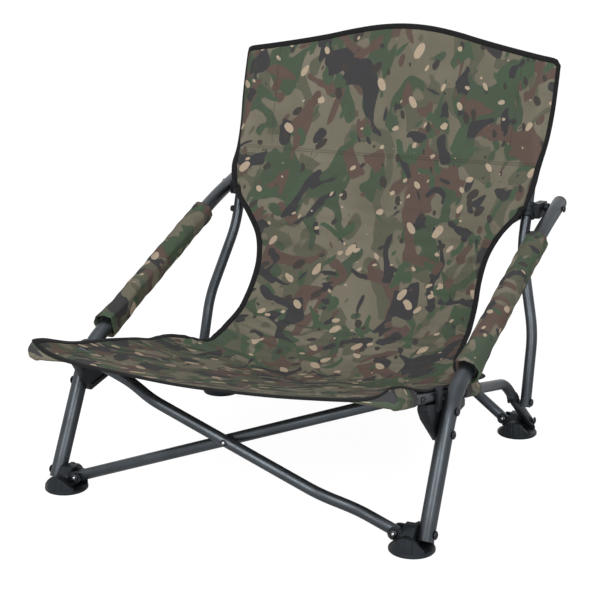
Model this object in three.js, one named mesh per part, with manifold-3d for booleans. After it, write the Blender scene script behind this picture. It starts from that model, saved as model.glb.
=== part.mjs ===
// A low folding fishing chair, millimetres, +Z up, the sitter faces -Y and the right side is +X.
// The frame stands on four round feet; a crossed pair of tubes at the front and one at the back
// hold the two sides apart and let the whole chair draw together like an umbrella.
import * as THREE from 'three';
import { mergeVertices } from 'three/addons/utils/BufferGeometryUtils.js';
import Module from 'manifold-3d';

const wasm = await Module();
wasm.setup();
const { Manifold } = wasm;

// Clearances and wall sizes
const gap = 0.3;
const turnGap = 0.4;
const overrun = 2;
const clothThick = 2.4;

// Tubes
const legRadius = 11;
const railRadius = 9;
const uprightRadius = 9.5;
const braceRadius = 9;
const legBend = 46;
const railBend = 34;
const uprightBend = 30;
const braceBend = 16;

// Feet: a round base, two cowls that fall away to the sides, a hub and a clevis for the brace
const footRadius = 35;
const footHalfTrack = 297;
const footThick = 6;
const footEdge = 2;
const cowlHeight = 31;
const cowlTop = 5;
const cowlToe = 31;
const cowlToeHeight = 7.5;
const cowlSlot = 21.5;
const cowlGroove = 1.2;
const hubHeight = 37;
const hubHalfDepth = 17;
const earHeight = 51;
const earThick = 7;
const earSweep = 5;
const boltGrip = 9.5;
const earHalfDepth = 6;
const pinHeight = 25;
const pinInset = 24.3;
const pinHalfTrack = footHalfTrack - pinInset;
const cheekThick = 4;
const cheekRadius = 9.5;
const knuckleRadius = 7.6;

// Places across the chair, each measured from the feet or from the piece beside it
const railInset = 3;
const railX = footHalfTrack - railInset;
const hipOutset = 16.7;
const hipX = footHalfTrack + hipOutset;
const pivotOutset = 3.4;
const pivotX = footHalfTrack + pivotOutset;
const legOutset = 18.7;
const legX = footHalfTrack + legOutset;
const armFlare = 6.6;
const armMidX = legX + armFlare;
const armEndFlare = 7.3;
const armEndX = legX + armEndFlare;
const uprightOutset = 20.2;
const uprightX = pivotX + uprightOutset;
const kneeInset = 2;
const kneeX = uprightX - kneeInset;
const neckInset = 15;
const neckX = footHalfTrack - neckInset;

// Places along the chair, front to back
const frontFootY = -334;
const rearFootY = 218;
const legBoltBack = 9;
const knuckleBack = 18;
const knuckleY = frontFootY + knuckleBack;
const knuckleZ = 226;
const hipBack = 9.2;
const hipY = rearFootY + hipBack;
const railReach = 99;
const railTipY = knuckleY - railReach;
const railCornerFront = 85.7;
const railCornerY = hipY - railCornerFront;
const railDrop = 110.349;
const railSlope = railDrop / (railCornerY - knuckleY);
const pivotRise = 66.8;
const tubeEnd = 9;

// Legs that bend back into the arms
const legLean = 0.55;
const legTail = 12;
const legCornerDrop = 21.6;
const legCornerZ = knuckleZ - legCornerDrop;

// Uprights of the back: knee, neck and top
const kneeFront = 10.2;
const kneeY = hipY - kneeFront;
const kneeZ = 190;
const neckBack = 32.8;
const neckY = hipY + neckBack;
const neckRise = 136;
const neckZ = kneeZ + neckRise;
const topBack = 106;
const topY = neckY + topBack;
const topRise = 308;
const topZ = neckZ + topRise;

// Sliding collars on the uprights, and the arm ends that they carry
const sliderRise = 70;
const sliderZ = neckZ + sliderRise;
const sliderHeight = 26;
const sliderWall = 4.5;
const armEndRise = 4;
const armEndZ = sliderZ + armEndRise;
const armEndBack = 83;
const armEndY = neckY + armEndBack;
const armPinFront = 21;
const armPinY = armEndY - armPinFront;
const armPinDrop = 6;
const armPinZ = armEndZ - armPinDrop;
const armMidFront = 95;
const armMidY = armEndY - armMidFront;
const armMidDrop = 24.7;
const armMidZ = armEndZ - armMidDrop;
const blockInset = 9;
const blockInX = neckX + blockInset;
const blockClear = 0.8;
const bossRadius = 8;
const bossLength = 7;
const blockOutX = armEndX - legRadius - blockClear - bossLength;
const bossOutX = blockOutX + bossLength;
const blockFront = 42;
const blockFrontY = armPinY - blockFront;
const blockBack = 13;
const blockBackY = armPinY + blockBack;
const blockDrop = 16;
const blockLowZ = sliderZ - blockDrop;
const blockRise = 11;
const blockHighZ = sliderZ + blockRise;
const blockEdge = 3;
const lugRelief = 7;
const lugWidth = 22;
const braceTopBack = 30;
const braceTopDrop = 8;
const knobDrop = 42;
const knobZ = sliderZ - knobDrop;
const knobRadius = 6;
const knobLength = 5;

// Braces
const braceStep = 19.6;
const stepNearShares = [0.112, 0.215];
const stepFarShares = [0.74, 0.83];

// Fasteners
const pinRadius = 4;
const screwRadius = 3;
const headRadius = 6.8;
const headThick = 3.4;
const spacerRadius = 9;
const spacerThick = 1;

// Gusset under each rail, measured from the knuckle
const gussetWall = 6;
const gussetInX = railX - gussetWall;
const gussetOutX = legX - legRadius - gap;
const gussetStart = 16;
const gussetFrontY = knuckleY + gussetStart;
const gussetBack = 196;
const gussetBackY = knuckleY + gussetBack;
const lugDrop = 11;
const gussetNose = 42;
const gussetNoseY = knuckleY + gussetNose;
const gussetNoseDrop = 67;
const gussetNoseZ = knuckleZ - gussetNoseDrop;
const gussetApex = 69;
const gussetApexY = knuckleY + gussetApex;
const gussetApexDrop = 85;
const gussetApexZ = knuckleZ - gussetApexDrop;
const gussetHeel = 129;
const gussetHeelY = knuckleY + gussetHeel;
const gussetHeelDrop = 73;
const gussetHeelZ = knuckleZ - gussetHeelDrop;
const gussetTabDrop = 68;
const gussetTabZ = knuckleZ - gussetTabDrop;
const lipOver = 4.3;
const lipOutX = legX - legRadius + lipOver;
const lipBackY = gussetApexY;
const lipDepth = 16;
const lipTopDrop = 4;
const lipTopZ = knuckleZ - lipTopDrop;
const lipLowDrop = 34;
const lipLowZ = knuckleZ - lipLowDrop;
const boltLowDrop = 70;
const boltLowZ = knuckleZ - boltLowDrop;
const boltHighDrop = 39;
const boltHighZ = knuckleZ - boltHighDrop;

// Arm pads
const padLength = 363.6;
const padTopFront = 48;
const padHighY = armMidY - padTopFront;
const padLowY = padHighY - padLength;
const padRadius = 19.3;
const padFlare = 20.5;
const padFlareLow = 22.3;
const padMouthLow = 19;
const padInner = 11.5;
const padMouth = 17;
const padFunnel = 10;
const padFlatX = railX + railRadius + turnGap;

// Cloth of the seat and the back
const sleeveRadius = 14.6;
const frontSleeveClear = 24;
const frontSleeveEndY = knuckleY - frontSleeveClear;
const rearSleeveGap = 8;
const rearSleeveStartY = gussetBackY + rearSleeveGap;
const seatOverhang = 4;
const seatHalf = railX + seatOverhang;
const waistDraw = 79;
const waistHalf = seatHalf - waistDraw;
const sleeveCap = 4.7;
const seatFrontY = railTipY - sleeveCap;
const creaseFront = 37.5;
const creaseY = railCornerY - creaseFront;
const seatBackY = creaseY;
const rearSleeveFront = 96;
const rearSleeveEndY = creaseY - rearSleeveFront;
const seatSag = 28;
const creaseSag = 34;
const creaseDrop = 52;
const creaseZ = knuckleZ - creaseDrop;
const backOverhang = 25;
const backTopHalf = neckX + backOverhang;
const backCornerRise = 8;
const backCornerZ = topZ + backCornerRise;
const peakRise = 56;
const peakZ = backCornerZ + peakRise;
const backSleeveRise = 50;
const backSleeveZ = sliderZ + backSleeveRise;
const topSag = 50;
const waistSag = 34;
const hemRise = 15;

// Counts
const tubeSides = 14;
const pinSides = 10;
const bendSteps = 3;
const seatAcross = 12;
const seatAlong = 16;
const backAcross = 12;
const backAlong = 18;
const padSides = 16;
const footSides = 22;

// Finishes
const finish = {
  tube: { color: 0x3a3d42, roughness: 0.42, metalness: 0.75 },
  plastic: { color: 0x17181a, roughness: 0.6, metalness: 0 },
  steel: { color: 0x24262a, roughness: 0.35, metalness: 0.85 },
  cloth: { color: 0x5f5b46, roughness: 0.92, metalness: 0 },
  webbing: { color: 0x141414, roughness: 0.9, metalness: 0 },
};

const at = (x, y, z) => new THREE.Vector3(x, y, z);
const across = at(1, 0, 0);
const along = at(0, 1, 0);
const upward = at(0, 0, 1);
const chair = new THREE.Group();

// A line through chosen points: rings of a tube sit exactly on them
class Route extends THREE.Curve {
  constructor(points) {
    super();
    this.points = points;
  }
  getPoint(t, target = new THREE.Vector3()) {
    const last = this.points.length - 1;
    const place = Math.min(t * last, last);
    const low = Math.min(Math.floor(place), last - 1);
    return target.lerpVectors(this.points[low], this.points[low + 1], place - low);
  }
  getPointAt(t, target) {
    return this.getPoint(t, target);
  }
  getTangent(t, target = new THREE.Vector3()) {
    const last = this.points.length - 1;
    const index = Math.round(t * last);
    const before = this.points[Math.max(index - 1, 0)];
    const here = this.points[index];
    const after = this.points[Math.min(index + 1, last)];
    const incoming = here.clone().sub(before).normalize();
    const outgoing = after.clone().sub(here).normalize();
    return target.copy(incoming).add(outgoing).normalize();
  }
  getTangentAt(t, target) {
    return this.getTangent(t, target);
  }
}

// Corners of a bent tube are rounded over the given length on each side
function bent(corners, round) {
  const points = [corners[0]];
  for (let i = 1; i < corners.length - 1; i += 1) {
    const into = corners[i - 1].clone().sub(corners[i]).normalize().multiplyScalar(round);
    const out = corners[i + 1].clone().sub(corners[i]).normalize().multiplyScalar(round);
    const arc = new THREE.QuadraticBezierCurve3(
      corners[i].clone().add(into), corners[i], corners[i].clone().add(out));
    points.push(...arc.getPoints(bendSteps));
  }
  points.push(corners[corners.length - 1]);
  return points;
}

function ring(radius, sides) {
  const points = [];
  for (let i = 0; i < sides; i += 1) {
    const turn = (2 * Math.PI * i) / sides;
    points.push(new THREE.Vector2(radius * Math.cos(turn), radius * Math.sin(turn)));
  }
  return points;
}

function toSolid(geometry) {
  const bare = geometry.clone();
  bare.deleteAttribute('normal');
  bare.deleteAttribute('uv');
  const merged = mergeVertices(bare);
  const solid = new Manifold(new wasm.Mesh({
    numProp: 3,
    vertProperties: new Float32Array(merged.attributes.position.array),
    triVerts: new Uint32Array(merged.index.array),
  }));
  return solid;
}

function toGeometry(solid) {
  const mesh = solid.getMesh();
  const geometry = new THREE.BufferGeometry();
  geometry.setAttribute('position', new THREE.BufferAttribute(new Float32Array(mesh.vertProperties), 3));
  geometry.setIndex(new THREE.BufferAttribute(new Uint32Array(mesh.triVerts), 1));
  geometry.computeVertexNormals();
  return geometry;
}

function tube(points, radius, sides = tubeSides) {
  const route = new Route(points);
  return toSolid(new THREE.ExtrudeGeometry(new THREE.Shape(ring(radius, sides)), {
    steps: points.length - 1,
    extrudePath: route,
  }));
}

// A round bar between two points
function bar(from, to, radius, sides = pinSides) {
  const length = from.distanceTo(to);
  const geometry = new THREE.CylinderGeometry(radius, radius, length, sides);
  const turn = new THREE.Quaternion().setFromUnitVectors(along, to.clone().sub(from).normalize());
  geometry.applyQuaternion(turn);
  const middle = from.clone().add(to).multiplyScalar(0.5);
  geometry.translate(middle.x, middle.y, middle.z);
  return toSolid(geometry);
}

// A low domed head that starts at a point and stands out along a direction
function head(base, direction, radius, thick) {
  const rise = 1 / 2;
  const profile = [
    new THREE.Vector2(0, 0),
    new THREE.Vector2(radius, 0),
    new THREE.Vector2(radius, thick * rise),
    new THREE.Vector2(radius * Math.cos(Math.PI / 6), thick * (1 + rise) * rise),
    new THREE.Vector2(radius * rise, thick),
    new THREE.Vector2(0, thick),
  ];
  const geometry = new THREE.LatheGeometry(profile, pinSides);
  geometry.applyQuaternion(new THREE.Quaternion().setFromUnitVectors(along, direction));
  geometry.translate(base.x, base.y, base.z);
  return toSolid(geometry);
}

// A shank with a head at its start and, where wanted, one at its end
function fastener(start, end, radius, headSize, both) {
  const direction = end.clone().sub(start).normalize();
  const inside = start.clone().addScaledVector(direction, headThick / 2);
  const back = start.clone().addScaledVector(direction, headThick / 4);
  let solid = bar(back, end, radius).add(head(inside, direction.clone().negate(), headSize, headThick));
  if (both) {
    const tail = end.clone().addScaledVector(direction, -headThick / 2);
    solid = solid.add(head(tail, direction, headSize, headThick));
  }
  return solid;
}

// An outline in the side view, drawn as depth and height, given a width across the chair
function plate(outline, lowX, highX) {
  const shape = new THREE.Shape(outline.map(([y, z]) => new THREE.Vector2(y, z)));
  const geometry = new THREE.ExtrudeGeometry(shape, { depth: highX - lowX, bevelEnabled: false });
  const basis = new THREE.Matrix4().makeBasis(along, upward, across);
  geometry.applyMatrix4(basis);
  geometry.translate(lowX, 0, 0);
  return toSolid(geometry);
}

function box(lowX, highX, lowY, highY, lowZ, highZ) {
  const geometry = new THREE.BoxGeometry(highX - lowX, highY - lowY, highZ - lowZ);
  geometry.translate((lowX + highX) / 2, (lowY + highY) / 2, (lowZ + highZ) / 2);
  return toSolid(geometry);
}

function place(name, solid, look) {
  const mesh = new THREE.Mesh(toGeometry(solid), new THREE.MeshStandardMaterial(finish[look]));
  mesh.name = name;
  chair.add(mesh);
}

// A right-hand piece and its mirror image
function pair(name, solid, look) {
  place(`${name}_right`, solid, look);
  place(`${name}_left`, solid.mirror([1, 0, 0]), look);
}

// Places that follow from the sizes
const railAt = (y) => knuckleZ - railSlope * (y - knuckleY);
const legAt = (z) => frontFootY + legBoltBack + legLean * (z - pinHeight);
const frontLow = at(pinHalfTrack, frontFootY, pinHeight);
const frontHigh = at(pinHalfTrack, knuckleY, knuckleZ);
const frontAxis = at(0, knuckleZ - pinHeight, frontFootY - knuckleY).normalize();
const sliderShare = (sliderZ - neckZ) / (topZ - neckZ);
const sliderAt = at(neckX, neckY, neckZ).lerp(at(neckX, topY, topZ), sliderShare);
const uprightRun = at(neckX, topY, topZ).sub(at(neckX, neckY, neckZ)).normalize();
const rearLow = at(pinHalfTrack, rearFootY, pinHeight);
const rearHigh = at(pinHalfTrack, sliderAt.y + braceTopBack, sliderZ - braceTopDrop);
const rearAxis = at(0, rearHigh.z - rearLow.z, rearLow.y - rearHigh.y).normalize();
const hip = at(hipX, hipY, pinHeight);
const railCorner = at(railX, railCornerY, railAt(railCornerY));
const hipShare = pivotRise / Math.hypot(railCornerY - hipY, railCorner.z - pinHeight);
const pivot = at(pivotX, hipY + hipShare * (railCornerY - hipY), pinHeight + hipShare * (railCorner.z - pinHeight));
const legBolt = at(legX, frontFootY + legBoltBack, pinHeight);

// Foot: everything is drawn for a foot whose centre is at (footHalfTrack, footY)
function foot(footY, axis, boltAt, tubeFace, earLean) {
  const rim = [
    new THREE.Vector2(0, 0),
    new THREE.Vector2(footRadius - footEdge, 0),
    new THREE.Vector2(footRadius, footEdge),
    new THREE.Vector2(footRadius, footThick - footEdge),
    new THREE.Vector2(footRadius - footEdge, footThick),
    new THREE.Vector2(0, footThick),
  ];
  const base = new THREE.LatheGeometry(rim, footSides);
  base.rotateX(Math.PI / 2);
  base.translate(footHalfTrack, footY, 0);
  const cowlShape = new THREE.Shape([
    new THREE.Vector2(-cowlToe, footThick / 2),
    new THREE.Vector2(cowlToe, footThick / 2),
    new THREE.Vector2(cowlToe, cowlToeHeight),
    new THREE.Vector2(cowlTop + (cowlToe - cowlTop) / 2, (cowlHeight + cowlToeHeight) / 2 - footEdge),
    new THREE.Vector2(cowlTop, cowlHeight),
    new THREE.Vector2(-cowlTop, cowlHeight),
    new THREE.Vector2(-cowlTop - (cowlToe - cowlTop) / 2, (cowlHeight + cowlToeHeight) / 2 - footEdge),
    new THREE.Vector2(-cowlToe, cowlToeHeight),
  ]);
  const cowls = new THREE.ExtrudeGeometry(cowlShape, { depth: 2 * footRadius, bevelEnabled: false });
  cowls.rotateX(Math.PI / 2);
  cowls.translate(footHalfTrack, footY + footRadius, 0);
  const drum = bar(
    at(footHalfTrack, footY, 0), at(footHalfTrack, footY, cowlHeight + overrun),
    footRadius - footEdge / 2, footSides);
  const slot = box(
    footHalfTrack - footRadius - overrun, footHalfTrack + footRadius + overrun,
    footY - cowlSlot, footY + cowlSlot, footThick, cowlHeight + overrun);
  let cowl = toSolid(cowls).intersect(drum).subtract(slot);
  for (const side of [-1, 1]) {
    for (const step of [-1, 0, 1]) {
      const turn = (side * Math.PI) / 2 + (step * Math.PI) / 9;
      const reach = footRadius - footEdge / 2;
      const spot = at(footHalfTrack + reach * Math.cos(turn), footY + reach * Math.sin(turn), footThick);
      cowl = cowl.subtract(bar(spot, spot.clone().setZ(cowlHeight + overrun), cowlGroove, pinSides / 2));
    }
  }
  const hubOut = tubeFace - gap;
  const hubIn = pinHalfTrack + braceRadius + cheekThick / 2;
  const hub = plate([
    [footY - hubHalfDepth, footThick / 2],
    [footY + hubHalfDepth, footThick / 2],
    [boltAt.y + earHalfDepth + earHalfDepth, hubHeight - earHalfDepth],
    [boltAt.y + earHalfDepth, hubHeight],
    [boltAt.y - earHalfDepth - earHalfDepth, hubHeight],
    [footY - hubHalfDepth, pinHeight],
  ], hubIn, hubOut);
  const ear = plate([
    [boltAt.y - 2 * earHalfDepth, footThick],
    [boltAt.y + 2 * earHalfDepth, footThick],
    [boltAt.y + earLean * (earHeight - pinHeight) + earSweep + earHalfDepth / 2, earHeight],
    [boltAt.y + earLean * (earHeight - pinHeight) + earSweep - earHalfDepth / 2, earHeight],
  ], hubOut - earThick, hubOut);
  let solid = toSolid(base).add(cowl).add(hub).add(ear);
  const centre = at(pinHalfTrack, footY, pinHeight);
  const inside = braceRadius + turnGap;
  const outside = inside + cheekThick;
  for (const side of [-1, 1]) {
    const near = centre.clone().addScaledVector(axis, side * inside);
    const far = centre.clone().addScaledVector(axis, side * outside);
    const arm = box(
      centre.x, hubIn + overrun,
      centre.y + Math.min(side * inside, side * outside),
      centre.y + Math.max(side * inside, side * outside),
      pinHeight - cheekRadius, pinHeight + cheekRadius);
    const tilt = THREE.MathUtils.radToDeg(Math.atan2(axis.z, axis.y));
    const turned = arm.translate([0, -centre.y, -centre.z]).rotate([tilt, 0, 0])
      .translate([0, centre.y, centre.z]);
    solid = solid.add(bar(near, far, cheekRadius)).add(turned);
  }
  const out = centre.clone().addScaledVector(axis, outside + overrun);
  const back = centre.clone().addScaledVector(axis, -outside - overrun);
  solid = solid.subtract(bar(out, back, pinRadius + turnGap));
  const boltIn = boltAt.clone().setX(hubIn - overrun);
  const boltOut = boltAt.clone().setX(hubOut + overrun);
  return solid.subtract(bar(boltIn, boltOut, screwRadius + turnGap));
}

const legFace = legX - legRadius;
const hipSplay = (hipX - pivotX) / pivotRise;
const hipFace = hipX - railRadius - hipSplay * (earHeight - pinHeight);
pair('front_foot', foot(frontFootY, frontAxis, legBolt, legFace, legLean), 'plastic');
pair('rear_foot', foot(rearFootY, rearAxis, hip, hipFace, 0), 'plastic');

// Leg and arm: one bent tube on each side
const legFoot = at(legX, legAt(pinHeight) - legLean * legTail * Math.cos(Math.atan(legLean)),
  pinHeight - legTail * Math.cos(Math.atan(legLean)));
const legCorner = at(legX, legAt(legCornerZ), legCornerZ);
const armMid = at(armMidX, armMidY, armMidZ);
const armEnd = at(armEndX, armEndY, armEndZ);
const armRoute = bent([legFoot, legCorner, armMid, armEnd], legBend);
const boltSpots = [
  at(legX, legAt(boltLowZ), boltLowZ),
  at(legX, legAt(boltHighZ), boltHighZ),
];
let leg = tube(armRoute, legRadius);
const armPin = at(armEndX, armPinY, armPinZ);
const hole = (spot, radius) => bar(
  spot.clone().setX(spot.x - 2 * legRadius), spot.clone().setX(spot.x + 2 * legRadius), radius);
for (const spot of [...boltSpots, legBolt]) {
  leg = leg.subtract(hole(spot, screwRadius + turnGap));
}
leg = leg.subtract(hole(armPin, pinRadius + turnGap));
pair('leg_tube', leg, 'tube');

// Screws through the leg: one into the foot, two into the gusset, and the pin of the arm
const headFace = legX + legRadius + gap + headThick / 2;
pair('leg_bolt', fastener(
  legBolt.clone().setX(headFace), legBolt.clone().setX(legFace - boltGrip), screwRadius, headRadius, false),
'steel');
boltSpots.forEach((spot, index) => {
  pair(`gusset_bolt_${index + 1}`, fastener(
    spot.clone().setX(headFace), spot.clone().setX((gussetInX + gussetOutX) / 2), screwRadius, headRadius, false),
  'steel');
});
pair('arm_pin', fastener(
  armPin.clone().setX(armEndX + legRadius + gap + headThick / 2),
  armPin.clone().setX(bossOutX + gap), pinRadius, headRadius, false), 'steel');

// Domed plug in the open end of each arm
const armRun = armEnd.clone().sub(armMid).normalize();
pair('arm_plug', head(armEnd.clone().addScaledVector(armRun, gap), armRun, legRadius, legRadius / 2), 'plastic');

// Gusset: a saddle bolted to the leg; the rail rests on its upper edge
const underside = (y) => railAt(y) - (railRadius + gap) * Math.hypot(1, railSlope);
let gusset = plate([
  [gussetFrontY, underside(gussetFrontY)],
  [gussetFrontY, underside(gussetFrontY) - lugDrop],
  [gussetNoseY, gussetNoseZ],
  [gussetApexY, gussetApexZ],
  [gussetHeelY, gussetHeelZ],
  [gussetBackY, gussetTabZ],
  [gussetBackY, underside(gussetBackY)],
], gussetInX, gussetOutX);
gusset = gusset.add(box(
  gussetOutX - spacerThick, lipOutX, lipBackY - lipDepth, lipBackY, lipLowZ, lipTopZ));
const railLow = at(railX, railTipY, railAt(railTipY));
const railHigh = at(railX, railCornerY, railAt(railCornerY));
gusset = gusset.subtract(bar(railLow, railHigh, railRadius + gap, tubeSides));
gusset = gusset.subtract(bar(
  at(legX, legAt(0), 0), at(legX, legAt(legCornerZ), legCornerZ), legRadius + gap, tubeSides));
for (const spot of boltSpots) {
  gusset = gusset.subtract(hole(spot, screwRadius + turnGap));
}
pair('gusset', gusset, 'plastic');

// Rail and rear leg: two tubes joined end to end just behind the corner
const hipRun = hip.clone().sub(pivot).normalize();
const hipEnd = hip.clone().addScaledVector(hipRun, tubeEnd);
const railRoute = [...bent([railLow, railCorner, pivot], railBend), hipEnd];
const joinIndex = 1 + bendSteps;
const joinAt = railRoute[joinIndex];
const joinRun = railRoute[joinIndex + 1].clone().sub(joinAt).normalize();
const railPoints = railRoute.slice(0, joinIndex + 1);
railPoints.push(joinAt.clone().addScaledVector(joinRun, railRadius));
const rearStart = joinAt.clone().addScaledVector(joinRun, railRadius + gap);
const rearPoints = [rearStart, pivot, hipEnd];
let rail = tube(railPoints, railRadius);
const knuckleScrew = at(railX, knuckleY, knuckleZ);
rail = rail.subtract(hole(knuckleScrew, screwRadius + turnGap));
pair('seat_rail', rail, 'tube');
let rearLeg = tube(rearPoints, railRadius);
for (const spot of [pivot, hip]) {
  rearLeg = rearLeg.subtract(hole(spot, screwRadius + turnGap));
}
pair('rear_leg', rearLeg, 'tube');
pair('knuckle_screw', fastener(
  knuckleScrew.clone().setX(railX + railRadius + gap + headThick / 2),
  knuckleScrew.clone().setX(railX - railRadius - gap - spacerThick), screwRadius, headRadius, false), 'steel');
pair('rear_leg_bolt', fastener(
  hip.clone().setX(hipX + railRadius + hipSplay * headRadius + gap + headThick / 2),
  hip.clone().setX(hipFace - boltGrip), screwRadius, headRadius, false), 'steel');

// Collar over the joint of rail and rear leg
const collarStart = rearStart.clone().addScaledVector(joinRun, gap);
const collarEnd = collarStart.clone().addScaledVector(joinRun, railRadius);
const collar = bar(collarStart, collarEnd, railRadius + gap + spacerThick, tubeSides).subtract(bar(
  collarStart.clone().addScaledVector(joinRun, -overrun),
  collarEnd.clone().addScaledVector(joinRun, overrun), railRadius + gap, tubeSides));
pair('joint_collar', collar, 'plastic');

// Knuckle: a clevis beside the rail that takes the top of the front brace
function knuckle() {
  const wallIn = pinHalfTrack + braceRadius + turnGap;
  const wallOut = railX - railRadius - gap;
  const inside = braceRadius + turnGap;
  const outside = inside + cheekThick;
  let solid = box(
    wallIn, wallOut, knuckleY - outside, knuckleY + outside, knuckleZ - knuckleRadius, knuckleZ + knuckleRadius);
  for (const side of [-1, 1]) {
    const near = frontHigh.clone().addScaledVector(frontAxis, side * inside);
    const far = frontHigh.clone().addScaledVector(frontAxis, side * outside);
    const cheek = box(
      pinHalfTrack, wallOut,
      knuckleY + Math.min(side * inside, side * outside), knuckleY + Math.max(side * inside, side * outside),
      knuckleZ - cheekRadius / 2, knuckleZ + cheekRadius / 2);
    const tilt = THREE.MathUtils.radToDeg(Math.atan2(frontAxis.z, frontAxis.y));
    const turned = cheek.translate([0, -knuckleY, -knuckleZ]).rotate([tilt, 0, 0])
      .translate([0, knuckleY, knuckleZ]);
    solid = solid.add(bar(near, far, knuckleRadius)).add(turned);
  }
  solid = solid.subtract(bar(
    frontHigh.clone().addScaledVector(frontAxis, outside + overrun),
    frontHigh.clone().addScaledVector(frontAxis, -outside - overrun), pinRadius + turnGap));
  return solid.subtract(bar(
    knuckleScrew.clone().setX(wallIn - overrun), knuckleScrew.clone().setX(wallOut + overrun),
    screwRadius + turnGap));
}
pair('knuckle', knuckle(), 'plastic');

// Pins of the clevises, with a head at each end
function clevisPin(centre, axis) {
  const reach = braceRadius + turnGap + cheekThick + gap + headThick / 2;
  return fastener(
    centre.clone().addScaledVector(axis, -reach), centre.clone().addScaledVector(axis, reach),
    pinRadius, headRadius, true);
}
pair('front_foot_pin', clevisPin(frontLow, frontAxis), 'steel');
pair('knuckle_pin', clevisPin(frontHigh, frontAxis), 'steel');
pair('rear_foot_pin', clevisPin(rearLow, rearAxis), 'steel');

// Braces: a straight tube and one that steps forward so that the two pass each other
function brace(low, high, axis, stepSize, highHole) {
  const from = low.clone();
  const to = high.clone().setX(-high.x);
  const spot = (share, offset) => from.clone().lerp(to, share).addScaledVector(axis, -offset);
  const corners = stepSize
    ? [from, spot(stepNearShares[0], 0), spot(stepNearShares[1], stepSize),
      spot(stepFarShares[0], stepSize), spot(stepFarShares[1], 0), to]
    : [from, to];
  const points = bent(corners, braceBend);
  let solid = tube(points, braceRadius);
  for (const end of [from, to]) {
    const ball = new THREE.SphereGeometry(braceRadius, pinSides, pinSides / 2);
    ball.translate(end.x, end.y, end.z);
    solid = solid.add(toSolid(ball));
  }
  const holes = [from, spot(1 / 2, stepSize)];
  if (highHole) holes.push(to);
  for (const end of holes) {
    solid = solid.subtract(bar(
      end.clone().addScaledVector(axis, -braceRadius - overrun),
      end.clone().addScaledVector(axis, braceRadius + overrun), pinRadius + turnGap));
  }
  return solid;
}
place('front_brace_stepped', brace(frontLow, frontHigh, frontAxis, braceStep, true), 'tube');
place('front_brace_straight', brace(frontLow, frontHigh, frontAxis, 0, true).mirror([1, 0, 0]), 'tube');
place('rear_brace_stepped', brace(rearLow, rearHigh, rearAxis, -braceStep, true), 'tube');
place('rear_brace_straight', brace(rearLow, rearHigh, rearAxis, 0, true).mirror([1, 0, 0]), 'tube');

// Rivets at the crossings and the spacer between the front tubes
function crossing(low, high) {
  return at(0, (low.y + high.y) / 2, (low.z + high.z) / 2);
}
const frontCross = crossing(frontLow, frontHigh);
place('front_rivet', fastener(
  frontCross.clone().addScaledVector(frontAxis, -braceStep - braceRadius - gap - headThick / 2),
  frontCross.clone().addScaledVector(frontAxis, braceRadius + gap + headThick / 2),
  pinRadius, headRadius, true), 'steel');
const washerAt = frontCross.clone().addScaledVector(frontAxis, -braceStep / 2);
const washerOut = washerAt.clone().addScaledVector(frontAxis, -spacerThick / 2);
const washerIn = washerAt.clone().addScaledVector(frontAxis, spacerThick / 2);
place('front_spacer', bar(washerOut, washerIn, spacerRadius).subtract(bar(
  washerOut.clone().addScaledVector(frontAxis, -overrun),
  washerIn.clone().addScaledVector(frontAxis, overrun), pinRadius + turnGap)), 'plastic');
const rearCross = crossing(rearLow, rearHigh);
place('rear_rivet', fastener(
  rearCross.clone().addScaledVector(rearAxis, braceStep + braceRadius + gap + headThick / 2),
  rearCross.clone().addScaledVector(rearAxis, braceRadius + gap),
  pinRadius, headRadius, false), 'steel');

// Upright with its pivot bolt, stop knob and sliding collar
const knee = at(kneeX, kneeY, kneeZ);
const neck = at(neckX, neckY, neckZ);
const crown = at(neckX, topY, topZ);
const uprightPivot = pivot.clone().setX(uprightX);
const uprightFoot = uprightPivot.clone().addScaledVector(
  knee.clone().sub(uprightPivot).normalize(), -tubeEnd);
let upright = tube(bent([uprightFoot, knee, neck, crown], uprightBend), uprightRadius);
upright = upright.subtract(hole(uprightPivot, screwRadius + turnGap));
const knobShare = (knobZ - neckZ) / (topZ - neckZ);
const knobAt = neck.clone().lerp(crown, knobShare);
upright = upright.subtract(bar(
  knobAt, knobAt.clone().setX(knobAt.x + uprightRadius + overrun), screwRadius + turnGap));
pair('upright', upright, 'tube');
pair('upright_bolt', fastener(
  uprightPivot.clone().setX(uprightX + uprightRadius + gap + headThick / 2),
  uprightPivot.clone().setX(pivotX - railRadius - headThick), screwRadius, headRadius, false), 'steel');
const knobFace = knobAt.x + uprightRadius + gap;
pair('stop_knob', fastener(
  knobAt.clone().setX(knobFace + knobLength), knobAt.clone().setX(knobAt.x + overrun),
  screwRadius, knobRadius, false), 'plastic');

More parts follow.
